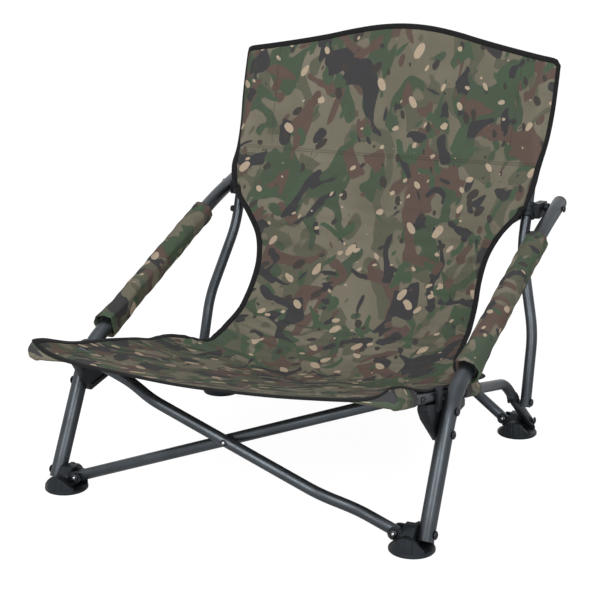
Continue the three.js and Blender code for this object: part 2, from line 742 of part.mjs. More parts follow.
function slider() {
  const low = sliderAt.clone().addScaledVector(uprightRun, -sliderHeight / 2);
  const high = sliderAt.clone().addScaledVector(uprightRun, sliderHeight / 2);
  let solid = bar(low, high, uprightRadius + turnGap + sliderWall, tubeSides);
  solid = solid.add(plate([
    [blockFrontY + blockEdge, blockLowZ],
    [blockBackY - blockEdge, blockLowZ],
    [blockBackY, blockLowZ + blockEdge],
    [blockBackY, blockHighZ - blockEdge - blockEdge],
    [blockBackY - blockEdge, blockHighZ - blockEdge],
    [blockFrontY + blockEdge, blockHighZ],
    [blockFrontY, blockHighZ - blockEdge],
    [blockFrontY, blockLowZ + blockEdge],
  ], blockInX, blockOutX));
  solid = solid.add(bar(
    armPin.clone().setX(blockOutX - blockEdge), armPin.clone().setX(bossOutX), bossRadius, tubeSides));
  const lugTop = rearHigh.clone().addScaledVector(rearAxis, -(braceRadius + gap));
  solid = solid.add(box(
    lugTop.x - lugWidth / 2, blockInX + overrun, sliderAt.y, lugTop.y - lugRelief,
    rearHigh.z - lugWidth / 2, rearHigh.z + lugWidth / 2));
  const throat = bar(
    low.clone().addScaledVector(uprightRun, -sliderHeight),
    high.clone().addScaledVector(uprightRun, sliderHeight), uprightRadius + turnGap, tubeSides);
  return solid.subtract(throat);
}
pair('slider', slider(), 'plastic');
const braceTopFace = rearHigh.clone().addScaledVector(rearAxis, -braceRadius);
pair('rear_brace_pin', fastener(
  rearHigh.clone().addScaledVector(rearAxis, braceRadius + gap + headThick / 2),
  braceTopFace, pinRadius, headRadius, false), 'steel');

// Arm pad: a padded sleeve round the arm, drawn in along its length and open at its ends
function armPad() {
  const share = (y) => (y - legCorner.y) / (armMid.y - legCorner.y);
  const low = legCorner.clone().lerp(armMid, share(padLowY));
  const high = legCorner.clone().lerp(armMid, share(padHighY));
  const length = low.distanceTo(high);
  const outer = [[0, padMouthLow], [0.015, padFlareLow], [0.06, padFlareLow], [0.16, padFlare], [0.34, padRadius],
    [0.5, (padRadius + padFlare) / 2], [0.66, padRadius], [0.86, padRadius], [0.94, padFlare],
    [0.985, padFlare], [1, padMouth]];
  const profile = outer.map(([share1, radius]) => new THREE.Vector2(radius, share1 * length));
  profile.push(new THREE.Vector2((padMouth + padInner) / 2, length - padFunnel / 4));
  profile.push(new THREE.Vector2(padInner, length - padFunnel));
  profile.push(new THREE.Vector2(padInner, padFunnel));
  profile.push(new THREE.Vector2((padMouth + padInner) / 2, padFunnel / 4));
  profile.push(profile[0].clone());
  const geometry = new THREE.LatheGeometry(profile, padSides);
  geometry.applyQuaternion(new THREE.Quaternion().setFromUnitVectors(along, high.clone().sub(low).normalize()));
  geometry.translate(low.x, low.y, low.z);
  // the inner side is pressed flat, so that the seat rail passes it when the chair is folded
  return toSolid(geometry).subtract(box(
    padFlatX - 2 * padFlareLow, padFlatX, low.y - padFlareLow, high.y + padFlareLow,
    low.z - 2 * padFlareLow, high.z + 2 * padFlareLow));
}
pair('arm_pad', armPad(), 'cloth');

// A sheet of cloth: a grid of points, thickened, closed all round
function cloth(grid) {
  const rows = grid.length;
  const columns = grid[0].length;
  const point = (i, j) => grid[Math.max(0, Math.min(rows - 1, i))][Math.max(0, Math.min(columns - 1, j))];
  const positions = [];
  for (const side of [1, -1]) {
    for (let i = 0; i < rows; i += 1) {
      for (let j = 0; j < columns; j += 1) {
        const rowRun = point(i + 1, j).clone().sub(point(i - 1, j));
        const columnRun = point(i, j + 1).clone().sub(point(i, j - 1));
        const normal = columnRun.cross(rowRun).normalize();
        const spot = point(i, j).clone().addScaledVector(normal, (side * clothThick) / 2);
        positions.push(spot.x, spot.y, spot.z);
      }
    }
  }
  const layer = rows * columns;
  const index = [];
  const quad = (a, b, c, d) => index.push(a, b, c, a, c, d);
  for (let i = 0; i < rows - 1; i += 1) {
    for (let j = 0; j < columns - 1; j += 1) {
      const a = i * columns + j;
      quad(a, a + 1, a + 1 + columns, a + columns);
      quad(layer + a, layer + a + columns, layer + a + 1 + columns, layer + a + 1);
    }
  }
  for (let j = 0; j < columns - 1; j += 1) {
    const last = (rows - 1) * columns + j;
    quad(j, layer + j, layer + j + 1, j + 1);
    quad(last, last + 1, layer + last + 1, layer + last);
  }
  for (let i = 0; i < rows - 1; i += 1) {
    const a = i * columns;
    const b = a + columns - 1;
    quad(a, a + columns, layer + a + columns, layer + a);
    quad(b, layer + b, layer + b + columns, b + columns);
  }
  const geometry = new THREE.BufferGeometry();
  geometry.setAttribute('position', new THREE.Float32BufferAttribute(positions, 3));
  geometry.setIndex(index);
  return toSolid(geometry);
}

// Smooth run through a short table of pairs
function follow(table, share) {
  let low = 0;
  while (low < table.length - 2 && table[low + 1][0] < share) low += 1;
  const [from, to] = [table[low], table[low + 1]];
  const part = THREE.MathUtils.clamp((share - from[0]) / (to[0] - from[0]), 0, 1);
  const before = table[Math.max(low - 1, 0)];
  const after = table[Math.min(low + 2, table.length - 1)];
  const startSlope = ((to[1] - before[1]) / (to[0] - before[0])) * (to[0] - from[0]);
  const endSlope = ((after[1] - from[1]) / (after[0] - from[0])) * (to[0] - from[0]);
  const square = part * part;
  const cube = square * part;
  return from[1] * (2 * cube - 3 * square + 1) + startSlope * (cube - 2 * square + part)
    + to[1] * (3 * square - 2 * cube) + endSlope * (cube - square);
}

// Half width of the seat along its length, as shares of the waist and of the rail spacing
const seatWidthShares = [[0, 1], [0.2, 1], [0.78, 1], [0.84, 0.97], [0.92, 0.35], [1, 0.04]];
const seatSagShares = [[0, 0.9], [0.15, 0.98], [0.3, 1.15], [0.6, 1.25], [0.85, 1.05], [1, 1]];
const flatShare = 0.95;
function seatGrid() {
  const grid = [];
  for (let i = 0; i <= seatAlong; i += 1) {
    const share = i / seatAlong;
    const y = seatFrontY + share * (seatBackY - gap - seatFrontY);
    const half = waistHalf + (seatHalf - waistHalf) * follow(seatWidthShares, share);
    const lift = THREE.MathUtils.smoothstep(share, 0.76, 1);
    const edgeZ = THREE.MathUtils.lerp(railAt(y) + hemRise, creaseZ, lift * lift);
    const sag = THREE.MathUtils.lerp(seatSag, creaseSag, share) * follow(seatSagShares, share);
    const row = [];
    for (let j = 0; j <= seatAcross; j += 1) {
      const side = (2 * j) / seatAcross - 1;
      const bow = Math.max(0, 1 - Math.pow(Math.abs(side) / flatShare, 2));
      row.push(at(side * half, y, edgeZ - sag * bow));
    }
    grid.push(row);
  }
  return grid;
}

function sleeve(fromY, toY, capped) {
  const from = at(railX, fromY, railAt(fromY));
  const to = at(railX, toY, railAt(toY));
  const run = to.clone().sub(from).normalize();
  const inner = capped ? at(railX, railTipY, railAt(railTipY)).addScaledVector(run, -gap) : from.clone()
    .addScaledVector(run, -overrun);
  return bar(from, to, sleeveRadius, tubeSides).subtract(
    bar(inner, to.clone().addScaledVector(run, overrun), railRadius + gap, tubeSides));
}

let seat = cloth(seatGrid());
const railTunnel = bar(railLow, railHigh, railRadius + gap, tubeSides);
for (const solid of [sleeve(seatFrontY, frontSleeveEndY, true), sleeve(rearSleeveStartY, rearSleeveEndY, false)]) {
  seat = seat.add(solid).add(solid.mirror([1, 0, 0]));
}
seat = seat.subtract(railTunnel).subtract(railTunnel.mirror([1, 0, 0]));
place('seat_cloth', seat, 'cloth');

// Back: shares of its height against half width, place of its side edge and hang of its middle
const backHalfShares = [[0, 0.713], [0.053, 0.713], [0.126, 0.713], [0.212, 0.717], [0.302, 0.739],
  [0.388, 0.801], [0.468, 0.9], [0.553, 0.965], [0.634, 0.984], [0.726, 0.993], [0.82, 0.997], [1, 1]];
const backDepthShares = [[0, 0], [0.053, 0.2], [0.126, 0.34], [0.212, 0.43], [0.302, 0.505],
  [0.388, 0.53], [0.468, 0.57], [0.553, 0.645], [0.634, 0.75], [0.726, 0.83], [0.82, 0.9], [1, 1]];
const peakShares = [[0, 1], [0.34, 0.82], [0.65, 0.47], [0.82, 0.33], [0.95, 0.14], [1, 0]];
function backGrid() {
  const grid = [];
  const depth = topY - creaseY + clothThick + clothThick;
  for (let i = 0; i <= backAlong; i += 1) {
    const share = i / backAlong;
    const half = backTopHalf * follow(backHalfShares, share);
    const y = creaseY + clothThick / 2 + depth * follow(backDepthShares, share);
    const sag = THREE.MathUtils.lerp(waistSag, topSag, Math.sqrt(share));
    const row = [];
    for (let j = 0; j <= backAcross; j += 1) {
      const side = (2 * j) / backAcross - 1;
      const bow = 1 - Math.pow(Math.abs(side), 2.2);
      const rise = (peakZ - backCornerZ) * follow(peakShares, Math.abs(side)) * share * share;
      const foldDown = (1 - share) ** 6;
      row.push(at(side * half, y + sag * bow * (1 - foldDown),
        creaseZ + (backCornerZ - creaseZ) * share + rise - creaseSag * bow * foldDown));
    }
    grid.push(row);
  }
  return grid;
}
const backSleeveStart = neck.clone().lerp(crown, (backSleeveZ - neckZ) / (topZ - neckZ));
const backSleeve = bar(backSleeveStart, crown.clone().addScaledVector(uprightRun, clothThick), sleeveRadius, tubeSides);
const uprightTunnel = bar(neck, crown.clone().addScaledVector(uprightRun, gap), uprightRadius + gap, tubeSides);
const back = cloth(backGrid()).add(backSleeve).add(backSleeve.mirror([1, 0, 0]))
  .subtract(uprightTunnel).subtract(uprightTunnel.mirror([1, 0, 0]));
place('back_cloth', back, 'cloth');

export default chair;
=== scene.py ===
# %% [markdown]
# # A low folding fishing chair
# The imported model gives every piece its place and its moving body. This lesson dresses that frame:
# bent tubes, moulded feet, blackened screws and a camouflage sling. Lengths are metres, +Z is up,
# the sitter faces -Y.

# %% Load the frame
import math
import bpy
import bmesh
import numpy as np
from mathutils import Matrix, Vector


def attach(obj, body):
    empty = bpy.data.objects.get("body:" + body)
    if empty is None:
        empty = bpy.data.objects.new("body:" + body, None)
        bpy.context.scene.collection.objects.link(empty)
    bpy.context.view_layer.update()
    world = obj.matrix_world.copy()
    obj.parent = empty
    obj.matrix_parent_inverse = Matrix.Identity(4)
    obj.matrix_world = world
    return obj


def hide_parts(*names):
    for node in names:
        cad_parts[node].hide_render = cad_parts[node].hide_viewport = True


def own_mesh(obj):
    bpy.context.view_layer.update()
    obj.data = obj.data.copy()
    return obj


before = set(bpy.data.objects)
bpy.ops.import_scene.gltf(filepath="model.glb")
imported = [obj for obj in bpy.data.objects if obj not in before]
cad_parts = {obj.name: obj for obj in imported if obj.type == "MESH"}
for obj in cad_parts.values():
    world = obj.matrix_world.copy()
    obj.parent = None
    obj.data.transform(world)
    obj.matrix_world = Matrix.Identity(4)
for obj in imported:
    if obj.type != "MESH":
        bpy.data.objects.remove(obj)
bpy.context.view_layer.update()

# %% [markdown]
# ## Camera
# The viewpoint comes from matching the four feet and the frame in the picture: the camera stands
# to the front right, a little above the back, with a long lens. It is set first, because every
# later step is judged through it.

# %% Camera
camera_data = bpy.data.cameras.new("camera")
camera_data.lens = 88.93
camera_data.sensor_width = 36.0
camera = bpy.data.objects.new("camera", camera_data)
camera.location = (0.96779, -2.2345, 0.90182)
camera.rotation_euler = (math.radians(75.43), 0.0, math.radians(24.10))
bpy.context.collection.objects.link(camera)
bpy.context.scene.camera = camera
print("camera at", tuple(camera.location))

# %% [markdown]
# ## Finishes
# Each finish is a small node tree that reads Object coordinates or the piece's own UV map. `add`
# makes a node and `feed` fills its inputs, so that a finish reads like a recipe.

# %% Node helpers
def srgb(red, green, blue):
    """A colour read off a screen, 0 to 255, as the linear colour that the shader wants."""
    def channel(value):
        value /= 255
        return value / 12.92 if value <= 0.04045 else ((value + 0.055) / 1.055) ** 2.4
    return (channel(red), channel(green), channel(blue), 1.0)


def grey(value):
    return (value, value, value, 1.0)


def feed(tree, node, sockets):
    """Fills a node's inputs: a node's first output or another output is joined, a value is set."""
    for key, value in sockets.items():
        if isinstance(value, bpy.types.Node):
            value = value.outputs[0]
        if isinstance(value, bpy.types.NodeSocket):
            tree.links.new(value, node.inputs[key])
        else:
            node.inputs[key].default_value = value


def add(tree, kind, sockets=None, **settings):
    node = tree.nodes.new(kind)
    for name, value in settings.items():
        setattr(node, name, value)
    feed(tree, node, sockets or {})
    return node


def new_finish(name):
    finish = bpy.data.materials.new(name)
    finish.use_nodes = True
    tree = finish.node_tree
    tree.nodes.clear()
    shader = add(tree, "ShaderNodeBsdfPrincipled")
    add(tree, "ShaderNodeOutputMaterial", {"Surface": shader})
    return finish, tree, shader


def noise(tree, vector, scale, detail=2.0, rough=0.5, warp=0.0):
    return add(tree, "ShaderNodeTexNoise", {"Vector": vector, "Scale": scale, "Detail": detail,
                                            "Roughness": rough, "Distortion": warp})


def ramp(tree, factor, stops):
    node = add(tree, "ShaderNodeValToRGB", {"Fac": factor})
    steps = node.color_ramp.elements
    steps.remove(steps[1])
    for number, (place, colour) in enumerate(stops):
        stop = steps.new(place) if number else steps[0]
        stop.position = place
        stop.color = colour
    return node


def mix(tree, factor, under, over):
    return add(tree, "ShaderNodeMix", {"Factor": factor, "A": under, "B": over},
               data_type="RGBA").outputs["Result"]


def bump(tree, shader, height, strength, distance, under=None):
    sockets = {"Height": height, "Strength": strength, "Distance": distance}
    if under is not None:
        sockets["Normal"] = under
    normal = add(tree, "ShaderNodeBump", sockets)
    feed(tree, shader, {"Normal": normal})
    return normal


# %% [markdown]
# ## Paint, mouldings, steel, foam and thread
# The tubes are dark grey with a soft, slightly metallic sheen: fine cloudiness in the colour and a
# very fine orange-peel bump break up the highlight. The mouldings are blacker and duller with the
# grain of an injection mould. Screw heads are darker metal with a clearer glint, and the pins' tips
# are worn bright. The pads hold black foam, and the seams are sewn in dark thread.

# %% Plain finishes
def plain_finish(name, cloud, stops, relief=None, grain=None, dull=None, **constants):
    """Colours by a cloudy noise. relief is a bump's strength and depth, from the same noise or from
    a grain of its own. dull is the range of the roughness, by the same noise or by one of its own."""
    finish, tree, shader = new_finish(name)
    spot = add(tree, "ShaderNodeTexCoord").outputs["Object"]
    field = noise(tree, spot, *cloud)
    feed(tree, shader, {"Base Color": ramp(tree, field, stops)})
    if dull:
        low, high, *own = dull
        wear = noise(tree, spot, *own) if own else field
        feed(tree, shader, {"Roughness": ramp(tree, wear, [(0.3, grey(low)), (0.7, grey(high))])})
    feed(tree, shader, {key.replace("_", " "): value for key, value in constants.items()})
    if relief:
        bump(tree, shader, noise(tree, spot, *grain) if grain else field, *relief)
    return finish


tube_paint = plain_finish("powder_coated_tube", (22.0, 4.0),
                          [(0.3, srgb(61, 65, 69)), (0.7, srgb(73, 78, 83))], (0.12, 0.0002),
                          (1400.0, 2.0), (0.34, 0.41, 90.0, 3.0), Metallic=0.85, Specular_IOR_Level=0.5)
moulding = plain_finish("black_moulding", (40.0, 3.0), [(0.3, srgb(12, 14, 16)), (0.75, srgb(20, 22, 25))],
                        (0.25, 0.00025), (1100.0, 3.0), (0.42, 0.56), Specular_IOR_Level=0.34,
                        Specular_Tint=(0.78, 0.9, 1.0, 1.0))
steel = plain_finish("blackened_steel", (320.0, 4.0),
                     [(0.35, srgb(38, 39, 42)), (0.62, srgb(58, 60, 64)), (0.8, srgb(96, 98, 102))],
                     (0.1, 0.0002), Metallic=0.9, Roughness=0.34)
bright = plain_finish("worn_steel", (500.0, 3.0),
                      [(0.3, srgb(150, 151, 153)), (0.75, srgb(196, 197, 198))], (0.08, 0.0001),
                      Metallic=0.95, Roughness=0.28)
foam = plain_finish("black_foam", (900.0, 3.0), [(0.35, srgb(14, 14, 15)), (0.7, srgb(30, 30, 31))],
                    (0.5, 0.0004), Roughness=0.95)
thread = plain_finish("dark_thread", (2400.0, 1.0), [(0.3, srgb(44, 42, 36)), (0.7, srgb(70, 66, 54))],
                      Roughness=0.7)
print("plain finishes:", tube_paint.name, moulding.name, steel.name, bright.name, foam.name, thread.name)

# %% [markdown]
# ## Camouflage cloth
# The cloth is a coarse woven polyester with a printed camouflage of its own design: a khaki ground
# with green, brown and near-black patches, each a warped noise cut at a level, drawn out a little
# along the width, and pale and dark oval flecks from a cell pattern. The pattern follows the cloth's
# UV map, which is measured in metres, so that it wraps with the piece.

# %% Camouflage
def patches(tree, sheet, turn, scale, stretch, shift, low, high, detail=3.0, warp=0.6):
    """Where a warped noise is above a level."""
    place = add(tree, "ShaderNodeMapping",
                {"Vector": sheet, "Location": (shift, shift * 0.7, shift * 0.3),
                 "Rotation": (0.0, 0.0, turn), "Scale": (1.0, stretch, 1.0)})
    field = noise(tree, place, scale, detail, 0.5, warp)
    return ramp(tree, field, [(low, grey(0.0)), (high, grey(1.0))])


def flecks(tree, sheet, turn, scale, stretch, shift, size, share, lean):
    """Ovals in some of the cells: a share of them stays empty, and the rest differ in size."""
    place = add(tree, "ShaderNodeMapping",
                {"Vector": sheet, "Location": (shift, -shift, 0.0), "Rotation": (0.0, 0.0, turn + lean),
                 "Scale": (1.0, 1.0 / stretch, 1.0)}, vector_type="TEXTURE")
    wobble = add(tree, "ShaderNodeTexNoise", {"Vector": place, "Scale": scale * 1.5})
    bend = add(tree, "ShaderNodeVectorMath",
               {0: wobble.outputs["Color"], 1: (0.012, 0.012, 0.012), 2: place},
               operation="MULTIPLY_ADD")
    cells = add(tree, "ShaderNodeTexVoronoi", {"Vector": bend, "Scale": scale},
                voronoi_dimensions="2D")
    picked = add(tree, "ShaderNodeSeparateColor", {"Color": cells.outputs["Color"]})
    radius = add(tree, "ShaderNodeMath",
                 {0: picked, 1: size / (1.0 - share), 2: -size * share / (1.0 - share)},
                 operation="MULTIPLY_ADD")
    return add(tree, "ShaderNodeMath", {0: cells, 1: radius}, operation="LESS_THAN")


PATCHES = (
    # colour, then scale, stretch, shift, low, high, detail, warp
    (srgb(92, 92, 79), (12.5, 0.85, 7.7, 0.55, 0.562, 1.2, 1.2)),
    (srgb(73, 85, 70), (11.5, 0.85, 1.3, 0.56, 0.572, 1.3, 1.4)),
    (srgb(94, 79, 73), (11.5, 0.85, 5.9, 0.58, 0.592, 1.1, 1.6)),
    (srgb(73, 88, 71), (19.0, 0.85, 11.9, 0.615, 0.63, 1.1, 1.0)),
    (srgb(63, 62, 64), (11.5, 0.85, 14.3, 0.572, 0.582, 1.6, 1.8)))
FLECKS = (
    # colour, then scale, stretch, shift, size, empty share, lean
    (srgb(68, 64, 62), (20.0, 1.7, 5.2, 0.28, 0.80, 0.7)),
    (srgb(68, 64, 62), (27.0, 1.5, 8.3, 0.27, 0.82, 1.9)),
    (srgb(92, 77, 70), (18.0, 1.8, 12.6, 0.26, 0.82, 1.2)),
    (srgb(174, 157, 136), (15.0, 1.9, 2.3, 0.25, 0.74, 1.0)),
    (srgb(174, 157, 136), (16.0, 1.8, 6.4, 0.24, 0.78, 2.3)),
    (srgb(174, 157, 136), (32.0, 1.4, 9.1, 0.24, 0.86, 0.4)))


def camouflage_finish(name, turn):
    finish, tree, shader = new_finish(name)
    sheet = add(tree, "ShaderNodeUVMap", uv_map="cut")
    shade = patches(tree, sheet, turn, 8.0, 0.9, 3.1, 0.35, 0.65, 2.0)
    colour = mix(tree, shade, srgb(108, 104, 90), srgb(121, 116, 102))
    for maker, layers in ((patches, PATCHES), (flecks, FLECKS)):
        for over, settings in layers:
            colour = mix(tree, maker(tree, sheet, turn, *settings), colour, over)
    fade = ramp(tree, noise(tree, sheet, 260.0, 2.0), [(0.35, grey(0.0)), (0.9, grey(0.2))])
    feed(tree, shader, {"Base Color": mix(tree, fade, colour, srgb(52, 52, 46)), "Roughness": 0.88,
                        "Specular IOR Level": 0.12})
    wave = {"Vector": sheet, "Scale": 300.0, "Distortion": 0.6, "Detail": 1.0}
    threads = [add(tree, "ShaderNodeTexWave", wave, bands_direction=way).outputs["Fac"] for way in ("X", "Y")]
    weave = add(tree, "ShaderNodeMath", dict(enumerate(threads)), operation="MULTIPLY")
    crinkled = bump(tree, shader, noise(tree, sheet, 26.0, 4.0, 0.6), 0.35, 0.004)
    bump(tree, shader, weave, 0.35, 0.0004, crinkled)
    return finish


camouflage = camouflage_finish("camouflage_cloth", 0.0)
pad_camouflage = camouflage_finish("camouflage_pad", 0.9)
print("cloth finishes ready")

# %% [markdown]
# ## Binding
# A black woven tape closes the raw edge of the sling all round. Its fine ribs run across it, which
# a wave on the tape's own UV gives.

# %% Binding finish
binding_black, tree, shader = new_finish("black_binding")
ribs = add(tree, "ShaderNodeTexWave", {"Vector": add(tree, "ShaderNodeUVMap", uv_map="cut"),
                                       "Scale": 160.0, "Distortion": 0.4}).outputs["Fac"]
feed(tree, shader, {"Base Color": ramp(tree, ribs, [(0.0, srgb(10, 10, 11)), (1.0, srgb(23, 23, 25))]),
                    "Roughness": 0.85, "Specular IOR Level": 0.25})
bump(tree, shader, ribs, 0.4, 0.0004)
print("binding finish ready")

# %% [markdown]
# ## Making and placing pieces
# Every finished piece is a plain mesh whose place is in its vertices, so the object itself stays at
# the origin. `settle` turns what the modifiers show into that mesh. `finish_piece` gives it smooth
# shading with crisp edges and its finish, hides the CAD nodes it stands for and hangs it on the body
# it rides on.

# %% Piece helpers
SIDES = (("right", 1.0), ("left", -1.0))


def mm(*values):
    return Vector(values) * 0.001


def at_side(point, side):
    """A point or a direction of the right side, on the side that is asked for."""
    return Vector((point.x * side, point.y, point.z))


def mirrored(points, side):
    return [at_side(p, side) for p in points]


def new_object(name, points, faces=(), edges=()):
    mesh = bpy.data.meshes.new(name)
    mesh.from_pydata([tuple(p) for p in points], [tuple(e) for e in edges], [tuple(f) for f in faces])
    mesh.update()
    obj = bpy.data.objects.new(name, mesh)
    bpy.context.collection.objects.link(obj)
    return obj


def settle(obj):
    """Keeps what the modifiers show as a plain mesh."""
    graph = bpy.context.evaluated_depsgraph_get()
    graph.update()
    mesh = bpy.data.meshes.new_from_object(obj.evaluated_get(graph), depsgraph=graph)
    old = obj.data
    obj.modifiers.clear()
    obj.data = mesh
    bpy.data.meshes.remove(old)
    mesh.name = obj.name
    return obj


def modify(obj, kind, **settings):
    modifier = obj.modifiers.new(kind.lower(), kind)
    for name, value in settings.items():
        setattr(modifier, name, value)
    return settle(obj)


def run_tree(obj, tree, **values):
    """Runs a Geometry Nodes tree on an object, with its inputs set by their sockets' identifiers."""
    modifier = obj.modifiers.new(tree.name, "NODES")
    modifier.node_group = tree
    for item in tree.interface.items_tree:
        if item.in_out == "INPUT" and item.name in values:
            modifier[item.identifier] = values[item.name]
    return settle(obj)


def bevel(obj, width, angle):
    return modify(obj, "BEVEL", width=width, segments=2, limit_method="ANGLE",
                  angle_limit=math.radians(angle))


def carve(obj, tool, operation="DIFFERENCE"):
    modify(obj, "BOOLEAN", operation=operation, solver="EXACT", object=tool)
    bpy.data.objects.remove(tool)
    return obj


def close_up(obj, merge=1e-6):
    """Joins the points that coincide and turns all faces outward."""
    work = bmesh.new()
    work.from_mesh(obj.data)
    if merge:
        bmesh.ops.remove_doubles(work, verts=work.verts, dist=merge)
    bmesh.ops.recalc_face_normals(work, faces=work.faces)
    work.to_mesh(obj.data)
    work.free()
    return obj


def finish_piece(obj, body, material, nodes=(), angle=38.0):
    obj.data.materials.clear()
    obj.data.materials.append(material)
    for face in obj.data.polygons:
        face.material_index = 0
    obj.data.shade_smooth()
    obj.data.set_sharp_from_angle(angle=math.radians(angle))
    if nodes:
        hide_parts(*nodes)
    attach(obj, body)
    return obj


def finish_moulding(obj, side, rounding, body, node):
    """Mirrors a moulding to its side and rounds its edges before it is finished."""
    for vertex in obj.data.vertices:
        vertex.co.x *= side
    close_up(obj)
    close_up(bevel(obj, rounding, 35.0))
    return finish_piece(obj, body, moulding, [node], 40.0)


print("helpers ready")

# %% [markdown]
# ## Simple solids for the mouldings
# A turned profile, an outline given a width, and a bar between two points are enough to build every
# moulding by joining and cutting, as a toolmaker would describe it.

# %% Solid helpers
def turned(name, profile, base, direction, count=48):
    """A profile of (radius, height) pairs spun about a direction from a base point."""
    axis = Vector(direction).normalized()
    across = axis.orthogonal().normalized()
    other = axis.cross(across)
    points, faces, rings = [], [], []
    for radius, height in profile:
        centre = Vector(base) + axis * height
        turns = [2 * math.pi * k / count for k in range(count if radius else 1)]
        rings.append(range(len(points), len(points) + len(turns)))
        points += [centre + (across * math.cos(a) + other * math.sin(a)) * radius for a in turns]
    for low, high in zip(rings, rings[1:]):
        for k in range(count):
            n = (k + 1) % count
            corners = (low[k % len(low)], low[n % len(low)], high[n % len(high)], high[k % len(high)])
            faces.append(dict.fromkeys(corners))
    return close_up(new_object(name, points, faces))


def bar(name, start, end, radius, count=32):
    run = Vector(end) - Vector(start)
    return turned(name, [(0, 0), (radius, 0), (radius, run.length), (0, run.length)], start, run, count)


def prism(name, outline, low, high, plane="side"):
    """An outline given a thickness: side outlines are (y, z) from x low to high, front ones (x, z)."""
    points = [(depth, a, b) if plane == "side" else (a, depth, b)
              for depth in (low, high) for a, b in outline]
    count = len(outline)
    faces = [tuple(range(count)), tuple(range(2 * count - 1, count - 1, -1))]
    faces += [(k, (k + 1) % count, count + (k + 1) % count, count + k) for k in range(count)]
    return close_up(new_object(name, points, faces))


def side_plate(name, outline, low, high):
    """A prism with its side outline in millimetres."""
    return prism(name, [(y * 0.001, z * 0.001) for y, z in outline], low, high)


def block(name, low, high):
    outline = [(low[1], low[2]), (high[1], low[2]), (high[1], high[2]), (low[1], high[2])]
    return prism(name, outline, low[0], high[0])


print("solid helpers ready")

# %% [markdown]
# ## Bent tubes with Geometry Nodes
# The frame is one tube after another, each a round section along a bent line. That is a rule, so
# one node tree makes them all: the line becomes a curve, a circle runs along it, the ends are
# closed. The radius and the number of sides are inputs.

# %% Tube tree
def geometry_tree(name, inputs, output):
    """A tree with named inputs, and the outputs of its input node."""
    tree = bpy.data.node_groups.new(name, "GeometryNodeTree")
    for label, kind, value in inputs + (("Finish", "Material", None),):
        socket = tree.interface.new_socket(label, in_out="INPUT", socket_type=f"NodeSocket{kind}")
        if value is not None:
            socket.default_value = value
    tree.interface.new_socket(output, in_out="OUTPUT", socket_type="NodeSocketGeometry")
    return tree, add(tree, "NodeGroupInput").outputs


def end_tree(tree, given, shape):
    """Makes instances real, gives the finish and joins the tree's output."""
    real = add(tree, "GeometryNodeRealizeInstances", {"Geometry": shape})
    paint = add(tree, "GeometryNodeSetMaterial", {"Geometry": real, "Material": given["Finish"]})
    add(tree, "NodeGroupOutput", {0: paint})
    return tree


def tube_tree():
    tree, given = geometry_tree("bent_tube", (("Line", "Geometry", None), ("Radius", "Float", 0.009),
                                              ("Sides", "Int", 40)), "Tube")
    line = add(tree, "GeometryNodeMeshToCurve", {"Mesh": given["Line"]})
    circle = add(tree, "GeometryNodeCurvePrimitiveCircle",
                 {"Radius": given["Radius"], "Resolution": given["Sides"]})
    sweep = add(tree, "GeometryNodeCurveToMesh",
                {"Curve": line, "Profile Curve": circle, "Fill Caps": True})
    return end_tree(tree, given, sweep)


bent_tube = tube_tree()


def bent_line(corners, rounding, steps=10):
    """Corners rounded over a length on each side, and short straight steps between."""
    points = [corners[0]]
    for before, corner, after in zip(corners, corners[1:], corners[2:]):
        start = corner + (before - corner).normalized() * rounding
        end = corner + (after - corner).normalized() * rounding
        for k in range(steps + 1):
            t = k / steps
            points.append(start * (1 - t) ** 2 + corner * 2 * t * (1 - t) + end * t ** 2)
    points.append(corners[-1])
    return points


def tube(name, points, radius, body, nodes):
    line = new_object(name, points, edges=[(k, k + 1) for k in range(len(points) - 1)])
    run_tree(line, bent_tube, Radius=radius, Sides=40, Finish=tube_paint)
    bevel(close_up(line), 0.0007, 60.0)
    return finish_piece(line, body, tube_paint, nodes)


print("tube tree inputs:", [i.name for i in bent_tube.interface.items_tree])

# %% [markdown]
# ## The frame's places
# The same sizes as in the CAD source, in millimetres, are turned to metres here. The two sides are
# mirror images, so only the right one is written.

# %% Places
TUBE_RADIUS = 0.009
FIT = 0.0003  # the clearance between pieces that touch
RAIL_SLOPE = 0.2412
LEG_LEAN = 0.55
LEG_RADIUS = 0.0127  # thicker than in the CAD source, as the picture shows it


def rail_z(y):
    return 226.0 - RAIL_SLOPE * (y + 316.0)


def leg_y(z):
    return -325.0 + LEG_LEAN * (z - 25.0)


rail_tip = mm(294.0, -415.0, rail_z(-415.0))
rail_corner = mm(294.0, 141.5, rail_z(141.5))
hip = mm(313.7, 227.2, 25.0)
pivot = mm(300.4, 181.31, 73.54)
leg_corner = mm(316.5, leg_y(204.4), 204.4)
arm_bend = mm(323.6, 248.0, 375.3)
arm_end = mm(324.6, 343.0, 400.0)
arm_pin = mm(324.6, 322.0, 394.0)
leg_bolt = mm(316.5, -325.0, 25.0)
leg_face = leg_bolt.x - LEG_RADIUS
knee, neck, crown = mm(318.6, 217.0, 190.0), mm(282.0, 260.0, 326.0), mm(282.0, 366.0, 634.0)
upright_pivot = mm(320.6, 181.31, 73.54)
slider_at = neck.lerp(crown, (396.0 - 326.0) / (634.0 - 326.0))  # by the heights of all three
front_low, front_high = mm(272.7, -334.0, 25.0), mm(272.7, -316.0, 226.0)
rear_low = mm(272.7, 218.0, 25.0)
rear_high = Vector((0.2727, slider_at.y + 0.030, 0.388))
front_axis = Vector((0.0, front_high.z - front_low.z, front_low.y - front_high.y)).normalized()
rear_axis = Vector((0.0, rear_high.z - rear_low.z, rear_low.y - rear_high.y)).normalized()
print("slider centre", [round(v, 4) for v in slider_at])

# %% [markdown]
# ## Legs, rails and uprights
# Each leg is one tube that leans back, bends and becomes the arm. The rail runs from under the
# front of the seat to the rear leg, and the upright joggles inward above its knee.

